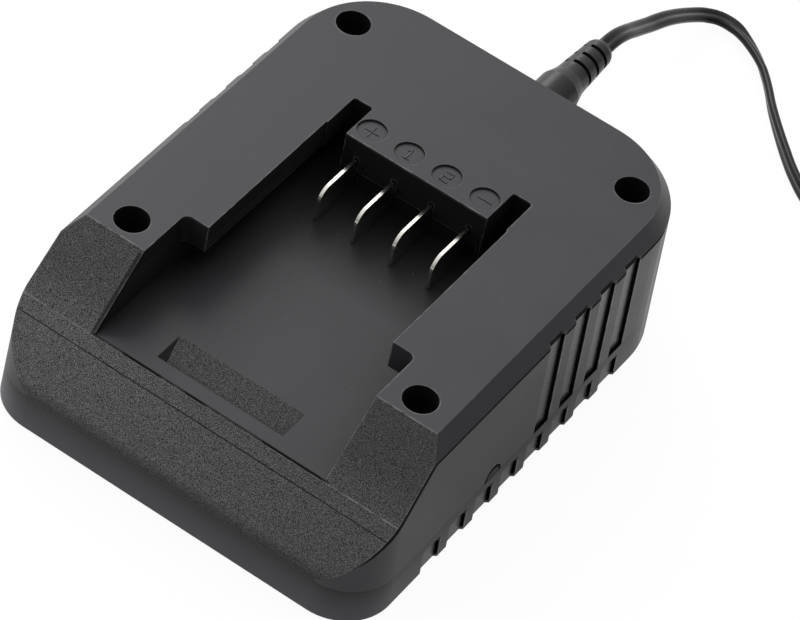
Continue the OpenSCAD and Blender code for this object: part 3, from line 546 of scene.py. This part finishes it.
def polished_recesses(tree, at, look):
    """The louvres' recesses are polished brighter than the walls they are sunk in. Both show their pores."""
    surface = add(tree, "Math", {0: at.z, 1: -WALL_LEAN, 2: WALL_X}, operation="MULTIPLY_ADD").outputs[0]
    sunk = add(tree, "Math", {0: surface, 1: at.far}, operation="SUBTRACT").outputs[0]
    sunk = add(tree, "MapRange", {0: sunk, 1: 0.3, 2: 0.5}).outputs[0]
    sunk = where_all(tree, sunk, at.outer)
    look.rough = add(tree, "MapRange", {0: sunk, 3: look.rough, 4: 0.27}).outputs[0]
    pores = add(tree, "MapRange", {0: look.height, 1: 0.3, 2: 0.7, 3: 0.8, 4: 1.2}).outputs[0]
    pores = add(tree, "MapRange", {0: at.wall, 3: 1.0, 4: pores}).outputs[0]
    look.colour = add(tree, "VectorMath", {0: look.colour, "Scale": pores}, operation="SCALE").outputs[0]


def spark_grain(tree, at, look):
    """Spark-eroded nose, with craters 0.2 mm wide, and painted shade over it. Gives the mask of the grain."""
    craters = add(tree, "TexNoise", {"Vector": at.where}, Scale=5.5, Detail=2, Roughness=0.65).outputs[0]
    tone = add(tree, "ValToRGB", {0: craters})
    dark, light = tone.color_ramp.elements
    dark.position, light.position = 0.43, 0.59
    dark.color, light.color = srgb("#131314"), srgb("#868686")
    mask = where_all(
        tree, (at.z, ">", PARTING_Z + CLEAR), (at.to_y, "<", -FORWARD_TURN), (at.y, "<", SLOPE_END),
        (at.side, "<", STRAIGHT_TURN),
    )
    pocket = where_all(tree, (at.far, "<", POCKET_END), (at.y, ">", POCKET_FRONT - SLACK))
    # painted light and shade: lighter on the left, towards the light, darker on the upper planes, by the
    # joint and in the pocket
    levels = (
        add(tree, "MapRange", {0: at.x, 1: -40, 2: 40, 3: 1.05, 4: 0.76}),
        add(tree, "MapRange", {0: at.z, 1: 25, 2: 33, 3: 1.0, 4: 0.64}),
        add(tree, "MapRange", {0: at.z, 1: PARTING_Z, 2: PARTING_Z + 4, 3: 0.12, 4: 1.0}),
        add(tree, "MapRange", {0: pocket, 3: 1.0, 4: 0.72}),
    )
    grain = tone.outputs[0]
    for level in levels:
        grain = add(tree, "VectorMath", {0: grain, "Scale": level.outputs[0]}, operation="SCALE").outputs[0]
    look.colour = add(tree, "MixRGB", {0: mask, 1: look.colour, 2: grain}).outputs[0]
    dull = add(tree, "MapRange", {0: pocket, 3: 0.6, 4: 0.9}).outputs[0]
    look.rough = add(tree, "MapRange", {0: mask, 3: look.rough, 4: dull}).outputs[0]
    deep = add(tree, "Math", {0: craters, 1: 9.0}, operation="MULTIPLY").outputs[0]
    look.height = add(tree, "MixRGB", {0: mask, 1: look.height, 2: deep}).outputs[0]
    return mask


def painted_shade_in_cuts(tree, at, look):
    """Painted shade: the wells and the pocket's left end are nearly black and dull. So are the tongue's face
    and the slots beside it and, a little less, the bay's walls, except for the front of the right one."""
    # the four wells are one, with the charger folded along its middle and across
    folded = add(tree, "VectorMath", {0: at.where, 1: (0, WELL_MID_Y, 0)}, operation="SUBTRACT").outputs[0]
    folded = add(tree, "VectorMath", {0: folded}, operation="ABSOLUTE").outputs[0]
    away = add(tree, "VectorMath", {0: folded, 1: (WELL_X, WELL_HALF_Y, 0)}, operation="SUBTRACT").outputs[0]
    away = add(tree, "VectorMath", {0: away, 1: (1, 1, 0)}, operation="MULTIPLY").outputs[0]
    away = add(tree, "VectorMath", {0: away}, operation="LENGTH").outputs["Value"]
    well = where_all(tree, (away, "<", WELL_R), (at.z, "<", WELL_RIM))
    end = where_all(
        tree, (at.to_x, ">", END_TURN), (at.far, "<", POCKET_END + SLACK), (at.z, "<", POCKET_TOP),
        (at.y, "<", POCKET_BACK + SLACK),
    )
    ahead = where_all(tree, (at.to_y, "<", -STEEP_TURN))
    steep = add(tree, "Math", {0: ahead, 1: at.side}, operation="MAXIMUM").outputs[0]
    left = where_all(tree, (at.x, "<", 0), (at.y, ">", FLOOR_FRONT[0] + CLEAR))
    rear = where_all(tree, (at.y, ">", BAY_WIDENS))
    rear = add(tree, "Math", {0: rear, 1: left}, operation="MAXIMUM").outputs[0]
    blackest = where_all(tree, (at.y, ">", TONGUE_Y - CLEAR))
    black = add(tree, "MapRange", {0: blackest, 3: 0.75, 4: 1.0}).outputs[0]
    inside = where_all(
        tree, (at.far, "<", BAY_HALF), (steep, ">", STEEP_TURN), rear, (at.z, "<", BAY_RIM), black
    )
    cut = well
    for part in (end, inside):
        cut = add(tree, "Math", {0: cut, 1: part}, operation="MAXIMUM").outputs[0]
    # painted shade: nearly black, and dull
    cover(tree, look, cut, "#0c0c0d", 0.9)


def bay_floor(tree, at, look, grain):
    """The bay's floor is polished, with painted shade that darkens it all over and most near the tongue. Its
    edges get no painted edge highlight, and the signs only a faint one."""
    low = where_all(tree, (at.far, "<", BAY_HALF), (at.z, "<", POCKET_TOP + CLEAR))
    look.edge = add(tree, "Math", {0: look.edge, 1: low}, operation="SUBTRACT", use_clamp=True).outputs[0]
    polished = where_all(tree, low, (at.y, ">", FLOOR_FRONT[0] - SLACK), (at.y, "<", SLOTS_END))
    polished = add(tree, "Math", {0: polished, 1: grain}, operation="SUBTRACT", use_clamp=True).outputs[0]
    dull = add(tree, "MapRange", {0: at.y, 1: -10, 2: 14, 3: 0.43, 4: 0.8}).outputs[0]
    look.rough = add(tree, "MapRange", {0: polished, 3: look.rough, 4: dull}).outputs[0]
    # painted shade, darkest near the tongue
    dim = add(tree, "MapRange", {0: at.y, 1: -10, 2: 15, 3: 0.78, 4: 0.12}).outputs[0]
    dim = add(tree, "MapRange", {0: polished, 3: 1.0, 4: dim}).outputs[0]
    look.colour = add(tree, "VectorMath", {0: look.colour, "Scale": dim}, operation="SCALE").outputs[0]
    signs = where_all(tree, (at.y, ">", SIGNS_FROM), (at.far, "<", SIGNS_HALF))
    kept = add(tree, "MapRange", {0: signs, 3: 1.0, 4: 0.3}).outputs[0]
    look.edge = where_all(tree, look.edge, kept)


def painted_shade_line(tree, look, over, mask, rising, darkening):
    """Dull line of painted shade at the top of a wall, with a step in the bump that turns it from the light.
    over is a place's height over the wall's top edge. The step and the line each grow between two such
    heights."""
    step = add(tree, "MapRange", {0: over, 1: rising[0], 2: rising[1], 3: 0, 4: -STEP}).outputs[0]
    step = where_all(tree, step, mask)
    look.height = add(tree, "Math", {0: look.height, 1: step}, operation="ADD").outputs[0]
    # the painted shade
    line = add(tree, "MapRange", {0: over, 1: darkening[0], 2: darkening[1]}).outputs[0]
    line = where_all(tree, line, mask)
    cover(tree, look, line, SHADE_LINE_BLACK, 1.0)
    return line


def wall_lines(tree, at, look):
    """Painted shade in dark lines: the grain ends at the nose's sides in one, 1.4 mm wide on the flat walls
    and 0.8 mm round the corners. Another, 0.8 mm wide, runs under the bevel, and the bay's walls are painted
    as dark from there up."""
    beside = where_all(
        tree, (at.side, ">", BESIDE_TURN), (at.y, "<", SLOPE_END), (at.to_z, "<", UPRIGHT_TURN)
    )
    narrow = add(tree, "MapRange", {0: at.side, 1: 0.9, 2: 0.999, 3: 1.0, 4: 0.58}).outputs[0]
    for (y, z), tilt in NOSE_PLANES:
        over = add(tree, "VectorMath", {0: at.where, 1: (0, y, z)}, operation="SUBTRACT").outputs[0]
        over = add(tree, "VectorMath", {0: over, 1: tilt}, operation="DOT_PRODUCT").outputs["Value"]
        over = add(tree, "Math", {0: over, 1: narrow}, operation="MULTIPLY").outputs[0]
        line = painted_shade_line(tree, look, over, beside, (-1.0, 0.0), (-0.95, -0.65))
        look.edge = add(
            tree, "Math", {0: look.edge, 1: line}, operation="SUBTRACT", use_clamp=True
        ).outputs[0]
    over = add(tree, "Math", {0: at.z, 1: BEVEL_Z}, operation="SUBTRACT").outputs[0]
    painted_shade_line(tree, look, over, at.wall, (-0.9, 0.15), (-0.85, -0.45))


def painted_crease_highlights(tree, at, look):
    """The nose's two upper edges and the tongue's front edge get painted highlights."""
    tongue = where_all(tree, (at.far, "<", SIGNS_HALF))
    # painted highlights along the creases
    creases = [(edge, 0.1, 0.24, 1.0) for edge in CREASES]
    creases.append(((TONGUE_Y, DECK_Z), 0.12, 0.3, tongue))
    for (y, z), full, gone, share in creases:
        away = from_edge(tree, at, y, z)
        crease = add(tree, "MapRange", {0: away, 1: full, 2: gone, 3: share, 4: 0.0}).outputs[0]
        look.edge = add(tree, "Math", {0: look.edge, 1: crease}, operation="MAXIMUM").outputs[0]


def front_line(tree, at, look):
    """Dark, broken line along the front edge of the bay's floor."""
    inside = where_all(tree, (at.far, "<", BAY_HALF))
    away = from_edge(tree, at, *FLOOR_FRONT)
    line = add(tree, "MapRange", {0: away, 1: 0.22, 2: 0.42, 3: inside, 4: 0.0}).outputs[0]
    look.rough = add(tree, "MapRange", {0: line, 3: look.rough, 4: 1.0}).outputs[0]
    look.edge = add(tree, "Math", {0: look.edge, 1: line}, operation="SUBTRACT", use_clamp=True).outputs[0]
    dashes = add(tree, "TexNoise", {"Vector": at.where}, Scale=0.16, Detail=1).outputs[0]
    broken = add(tree, "MapRange", {0: dashes, 1: 0.42, 2: 0.5, 3: 0.4, 4: 1.0}).outputs[0]
    line = where_all(tree, line, broken)
    look.colour = add(tree, "MixRGB", {0: line, 1: look.colour, 2: srgb("#060607")}).outputs[0]


# The shades in the inner corners: their reach in mm, how open a corner is where they are darkest, and how
# much of the colour is left there
CORNER_SHADES = ((0.6, 0.55, 0.3), (14, 0.35, 0.25))


def edge_highlights_corner_shade_and_dust(tree, at, look):
    """Outer edges get a painted highlight, pale and broken into a line. Inner corners get painted shade, in a
    line and in a soft shade over 14 mm. A few grains of dust, 0.2 mm wide, lie on it."""
    # painted highlight along the outer edges, broken up by noise
    highlight_breaks = add(tree, "TexNoise", {"Vector": at.where}, Scale=0.45, Detail=3).outputs[0]
    highlight_breaks = add(tree, "MapRange", {0: highlight_breaks, 1: 0.4, 2: 0.62, 3: 0.2, 4: 0.75}).outputs[0]
    edge = where_all(tree, look.edge, highlight_breaks)
    look.colour = add(tree, "MixRGB", {0: edge, 1: look.colour, 2: srgb("#8a8a8c")}).outputs[0]
    # painted shade in the inner corners, with the side walls spared
    for reach, closed, dark in CORNER_SHADES:
        corner = add(tree, "AmbientOcclusion", only_local=True, samples=6, Distance=reach * MM).outputs["AO"]
        corner = add(tree, "MapRange", {0: corner, 1: closed, 2: 0.9, 3: dark, 4: 1.0}).outputs[0]
        corner = add(tree, "Math", {0: corner, 1: at.outer}, operation="MAXIMUM").outputs[0]
        look.colour = add(tree, "VectorMath", {0: look.colour, "Scale": corner}, operation="SCALE").outputs[0]
    dust = add(tree, "TexVoronoi", {"Vector": at.where}, Scale=0.22).outputs["Distance"]
    dust = add(tree, "MapRange", {0: dust, 1: 0.018, 2: 0.034, 3: 0.3, 4: 0.0}).outputs[0]
    look.colour = add(tree, "MixRGB", {0: dust, 1: look.colour, 2: srgb("#a8a8a8")}).outputs[0]


def moulded_abs(name, grained):
    """Injection-moulded ABS: a satin skin with painted highlights along its edges and painted shade in its
    inner corners. The nose is spark-eroded, a dull and lively speckle that ends in a crisp line."""
    material, tree, out = blank(name)
    at = places_on_housing(tree)
    look = plain_skin(tree, at)
    joint_line_and_foot_reflection(tree, at, look, lower=not grained)
    polished_recesses(tree, at, look)
    if grained:
        grain = spark_grain(tree, at, look)
        painted_shade_in_cuts(tree, at, look)
        bay_floor(tree, at, look, grain)
        wall_lines(tree, at, look)
        painted_crease_highlights(tree, at, look)
        front_line(tree, at, look)
    edge_highlights_corner_shade_and_dust(tree, at, look)
    rounded = add(tree, "Bevel", samples=4, Radius=0.25 * MM).outputs[0]
    bump = add(tree, "Bump", {"Height": look.height, "Normal": rounded}, Strength=0.5, Distance=BUMP_UNIT)
    skin = add(
        tree, "BsdfPrincipled",
        {"Base Color": look.colour, "Roughness": look.rough, "Normal": bump.outputs[0]},
        IOR=1.5, Specular_IOR_Level=0.3,
    )
    tree.links.new(skin.outputs[0], out.inputs[0])
    return material


def nickel_blade():
    """Stamped brass strip with bright nickel plating: the cut edges shine, and the faces have fine rolling
    lines."""
    material, tree, out = blank("nickel-plated brass")
    where = place_in_mm(tree)
    # rolling lines run along the blade, 0.14 mm apart
    stretched = add(tree, "VectorMath", {0: where, 1: (1, 0.06, 1)}, operation="MULTIPLY").outputs[0]
    lines = add(tree, "TexNoise", {"Vector": stretched}, Scale=7, Detail=3).outputs[0]
    rough = add(tree, "MapRange", {0: lines, 1: 0.3, 2: 0.7, 3: 0.14, 4: 0.22}).outputs[0]
    tone = add(tree, "ValToRGB", {0: lines})
    dark, light = tone.color_ramp.elements
    dark.color, light.color = srgb("#d5d2cb"), srgb("#ece9e2")
    rounded = add(tree, "Bevel", samples=4, Radius=0.06 * MM).outputs[0]
    bump = add(tree, "Bump", {"Height": lines, "Normal": rounded}, Strength=0.1, Distance=0.003 * MM)
    metal = add(
        tree, "BsdfPrincipled",
        {"Base Color": tone.outputs[0], "Roughness": rough, "Normal": bump.outputs[0]}, Metallic=1.0,
    )
    tree.links.new(metal.outputs[0], out.inputs[0])
    return material


def speckled(
    name, low, high, grain_mm, roughness, metallic=0.0, bump_mm=0.01, ior=1.5, stretch=None, shine=0.5
):
    """A surface with one pattern: two tones a grain apart, and the same pattern in its gloss and height."""
    material, tree, out = blank(name)
    where = place_in_mm(tree)
    if stretch:
        where = add(tree, "VectorMath", {0: where, 1: stretch}, operation="MULTIPLY").outputs[0]
    grain = add(tree, "TexNoise", {"Vector": where}, Scale=1 / grain_mm, Detail=3).outputs[0]
    tone = add(tree, "ValToRGB", {0: grain})
    dark, light = tone.color_ramp.elements
    dark.position, light.position = 0.35, 0.65
    dark.color, light.color = srgb(low), srgb(high)
    smooth, coarse = roughness - 0.05, roughness + 0.05
    rough = add(tree, "MapRange", {0: grain, 1: 0.3, 2: 0.7, 3: smooth, 4: coarse}).outputs[0]
    bump = add(tree, "Bump", {"Height": grain}, Strength=0.5, Distance=bump_mm * MM)
    settings = {"Metallic": metallic} if metallic else {"IOR": ior, "Specular_IOR_Level": shine}
    skin = add(
        tree, "BsdfPrincipled",
        {"Base Color": tone.outputs[0], "Roughness": rough, "Normal": bump.outputs[0]}, **settings,
    )
    tree.links.new(skin.outputs[0], out.inputs[0])
    return material, tree, skin


def pvc_jacket():
    """Extruded soft PVC: smooth and satin, with a faint mottle 0.6 mm apart."""
    return speckled(
        "extruded PVC jacket", "#141415", "#1b1b1c", 0.6, 0.22, bump_mm=0.004, ior=1.53, shine=0.2
    )[0]


def pvc_grip():
    """Overmoulded soft PVC: duller than the housing, with an even fine grain."""
    return speckled("overmoulded PVC", "#1e1e20", "#28282a", 0.3, 0.34, bump_mm=0.015, ior=1.53, shine=0.3)[0]


def smoked_lens():
    """Smoked polycarbonate: nearly black when it is unlit, with a satin face and painted shade round its rim,
    where the gap to the housing is.
    """
    material, tree, out = blank("smoked polycarbonate")
    where = place_in_mm(tree)
    haze = add(tree, "TexNoise", {"Vector": where}, Scale=0.8, Detail=2).outputs[0]
    rough = add(tree, "MapRange", {0: haze, 1: 0.3, 2: 0.7, 3: 0.5, 4: 0.62}).outputs[0]
    tone = add(tree, "ValToRGB", {0: haze})
    dark, light = tone.color_ramp.elements
    dark.color, light.color = srgb("#1c1d1d"), srgb("#292a2a")
    # painted shade along the rim
    rim = add(tree, "AmbientOcclusion", inside=True, only_local=True, samples=6, Distance=0.7 * MM)
    rim = add(tree, "MapRange", {0: rim.outputs["AO"], 1: 0.93, 2: 0.7, 3: 0.0, 4: 1.0}).outputs[0]
    colour = add(tree, "MixRGB", {0: rim, 1: tone.outputs[0], 2: srgb("#050505")}).outputs[0]
    rough = add(tree, "MapRange", {0: rim, 3: rough, 4: 1.0}).outputs[0]
    lens = add(
        tree, "BsdfPrincipled", {"Base Color": colour, "Roughness": rough},
        Transmission_Weight=0.15, IOR=1.58, Specular_IOR_Level=0.15,
    )
    tree.links.new(lens.outputs[0], out.inputs[0])
    return material


def lamp_epoxy():
    """Green epoxy of a light-emitting diode, half clear and a little cloudy."""
    material, tree, skin = speckled(
        "green epoxy", "#3c8a4c", "#57b968", 0.8, 0.2, bump_mm=0.004, ior=1.52
    )
    skin.inputs["Transmission Weight"].default_value = 0.4
    return material


def filled_nylon():
    """Glass-filled nylon: dull black with short pale fibres, 0.8 mm long, at the skin."""
    return speckled(
        "glass-filled nylon", "#1d1d1e", "#303032", 0.3, 0.6, bump_mm=0.02, stretch=(1, 0.4, 1)
    )[0]


def solder_resist():
    """Green solder resist over copper: tracks 2.4 mm apart show as a lighter green, with bare tinned pads."""
    material, tree, out = blank("solder resist")
    where = place_in_mm(tree)
    tracks = add(
        tree, "TexBrick", {"Vector": where}, Scale=1.0, Mortar_Size=0.28, Brick_Width=7.5,
        Row_Height=2.4, Color1=srgb("#1f5a34"), Color2=srgb("#25663c"), Mortar=srgb("#12402a"),
    )
    pads = add(tree, "TexVoronoi", {"Vector": where}, Scale=0.28, Randomness=0.35).outputs["Distance"]
    tinned = add(tree, "Math", {0: pads, 1: 0.2}, operation="LESS_THAN").outputs[0]
    colour = add(tree, "MixRGB", {0: tinned, 1: tracks.outputs[0], 2: srgb("#c8c8c4")}).outputs[0]
    rough = add(tree, "MapRange", {0: tinned, 3: 0.3, 4: 0.42}).outputs[0]
    bump = add(tree, "Bump", {"Height": tracks.outputs["Fac"]}, Strength=0.4, Distance=0.03 * MM, invert=True)
    board = add(
        tree, "BsdfPrincipled",
        {"Base Color": colour, "Roughness": rough, "Metallic": tinned, "Normal": bump.outputs[0]}, IOR=1.5,
    )
    tree.links.new(board.outputs[0], out.inputs[0])
    return material


def pbt_jack():
    """Moulded PBT of the power jack: black, smooth, a little flow marked."""
    return speckled("moulded PBT", "#18181a", "#222224", 2.0, 0.4, bump_mm=0.01, ior=1.54)[0]


def tinned_steel():
    """Tinned spring steel: grey white and satin, rolled along its length."""
    return speckled("tinned steel", "#b4b4b2", "#cfcfcc", 0.2, 0.32, 1.0, 0.004, stretch=(1, 0.1, 1))[0]


def shrunk_sleeve():
    """Heat-shrunk PVC sleeve of a capacitor: glossy navy, with a bare aluminium top."""
    material, tree, skin = speckled("heat-shrunk sleeve", "#18243f", "#202f52", 1.5, 0.25, bump_mm=0.02)
    up = add(tree, "SeparateXYZ", {0: add(tree, "NewGeometry").outputs["True Normal"]}).outputs[2]
    top = add(tree, "Math", {0: up, 1: 0.9}, operation="GREATER_THAN").outputs[0]
    under = skin.inputs["Base Color"].links[0].from_socket
    colour = add(tree, "MixRGB", {0: top, 1: under, 2: srgb("#b9bbbd")}).outputs[0]
    tree.links.new(colour, skin.inputs["Base Color"])
    tree.links.new(top, skin.inputs["Metallic"])
    return material


def sintered_ferrite():
    """Sintered ferrite: near black, matt and a little sandy."""
    return speckled("sintered ferrite", "#232324", "#343436", 0.4, 0.7, bump_mm=0.03, ior=1.8)[0]


WIRE_PITCH = 0.6  # mm
WAVE_SCALE = 0.32  # a wave pattern of this scale repeats about every mm


def enamelled_copper():
    """Enamelled copper wire wound 0.6 mm apart: amber brown bands with a gloss."""
    material, tree, out = blank("enamelled copper wire")
    where = place_in_mm(tree)
    wire = add(
        tree, "TexWave", {"Vector": where}, wave_type="BANDS", bands_direction="Z",
        Scale=WAVE_SCALE / WIRE_PITCH, Distortion=0.3,
    ).outputs["Fac"]
    tone = add(tree, "ValToRGB", {0: wire})
    dark, light = tone.color_ramp.elements
    dark.color, light.color = srgb("#5c2a14"), srgb("#b5643a")
    bump = add(tree, "Bump", {"Height": wire}, Strength=0.8, Distance=0.2 * MM)
    rough = add(tree, "MapRange", {0: wire, 3: 0.4, 4: 0.25}).outputs[0]
    metal = add(
        tree, "BsdfPrincipled",
        {"Base Color": tone.outputs[0], "Roughness": rough, "Normal": bump.outputs[0]},
        Metallic=1.0, Coat_Weight=0.3,
    )
    tree.links.new(metal.outputs[0], out.inputs[0])
    return material


def extruded_aluminium():
    """Extruded aluminium: pale, with die lines 0.2 mm apart up its fins."""
    return speckled(
        "extruded aluminium", "#b9babd", "#d3d4d6", 0.2, 0.38, 1.0, 0.006, stretch=(1, 1, 0.05)
    )[0]


def moulded_epoxy():
    """Transfer-moulded epoxy of chips: charcoal and matt, with filler grains of 0.15 mm."""
    return speckled("moulded epoxy", "#1c1c1d", "#2c2c2e", 0.15, 0.62, bump_mm=0.01)[0]


def zinc_screw():
    """Zinc-plated steel screws: blue grey, with faint turning marks."""
    return speckled("zinc-plated steel", "#8d9094", "#b2b5b8", 0.25, 0.36, 1.0, 0.006, stretch=(1, 1, 3))[0]


def foot_rubber():
    """Moulded rubber feet: black and matt, with talc left in the pores."""
    return speckled("moulded rubber", "#1b1b1b", "#2b2b2b", 0.5, 0.85, bump_mm=0.04, ior=1.52)[0]


def turned_brass():
    """Turned brass tip, yellow and bright, with turning marks 0.1 mm apart."""
    return speckled("turned brass", "#b08d45", "#cfae66", 0.1, 0.25, 1.0, 0.004, stretch=(0.1, 1, 0.1))[0]


def adapter_abs():
    """Fine-textured ABS of the mains adapter: black, dull, grain of 0.4 mm."""
    return speckled("textured ABS", "#262628", "#343436", 0.4, 0.55, bump_mm=0.03)[0]


def mains_pin():
    """Nickel-plated brass of the mains pins, brushed along."""
    return speckled("nickel-plated pin", "#c4c0b8", "#dedad2", 0.15, 0.28, 1.0, 0.004, stretch=(1, 1, 0.1))[0]


def winding_tape():
    """Polyester tape round the transformer: yellow, glossy, with creases 2 mm apart."""
    return speckled("polyester tape", "#b99a2a", "#d8b944", 2.0, 0.3, bump_mm=0.05, stretch=(1, 1, 0.3))[0]


# Making -------------------------------------------------------------------------------------

KEY_PLACE, KEY_AIM = (-1.28, 1.05, 1.2), (0, 0, 0.02)
KEY_SIZE, KEY_WATTS = (1.2, 1.2), 17.0

place_camera()
lead, lead_line, lead_length = make_lead()
signs = make_signs()
cheeks = make_pocket_cheeks()

floor = make_stage()
floor.data.materials.append(white_sweep())
studio_world()
area_light("key", KEY_PLACE, KEY_AIM, KEY_SIZE, KEY_WATTS)
bpy.context.scene.view_settings.view_transform = "Standard"

housing_abs = moulded_abs("moulded ABS, grained nose", True)
dress(["upper_housing"], housing_abs)
dress(["lower_housing"], moulded_abs("moulded ABS", False))
dress(["contact_plus", "contact_sense_a", "contact_sense_b", "contact_minus"], nickel_blade())
dress(["terminal_holder"], filled_nylon())
dress(["circuit_board", "adapter_board"], solder_resist())
dress(["jack_body"], pbt_jack())
dress(["jack_pin", "jack_spring", "plug_sleeve"], tinned_steel())
dress(["lamp_window"], smoked_lens())
dress(["status_lamp"], lamp_epoxy())
dress(["reservoir_capacitor", "small_capacitors"], shrunk_sleeve())
dress(["inductor_core"], sintered_ferrite())
dress(["inductor_winding"], enamelled_copper())
dress(["heat_sink"], extruded_aluminium())
dress(["power_transistor", "controller_chip", "fuse", "surface_parts"], moulded_epoxy())
dress(["case_screws", "board_screws"], zinc_screw())
dress(["foot_front_left", "foot_front_right", "foot_rear_left", "foot_rear_right"], foot_rubber())
dress(["plug_grip", "plug_insulator", "adapter_relief"], pvc_grip())
dress(["plug_tip"], turned_brass())
dress(["adapter_cover", "adapter_base"], adapter_abs())
dress(["adapter_prong_left", "adapter_prong_right"], mains_pin())
dress(["adapter_transformer"], winding_tape())
jacket = pvc_jacket()
dress(["lead_run", "lead_coil", "lead_tail"], jacket)
lead.data.materials.append(jacket)
for piece in (signs, cheeks):
    piece.data.materials.append(housing_abs)
    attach(piece, "housing")
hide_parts("lead_run", "lead_coil", "lead_tail")
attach(lead, "dc_plug")
print("lead length", round(lead_length, 4))
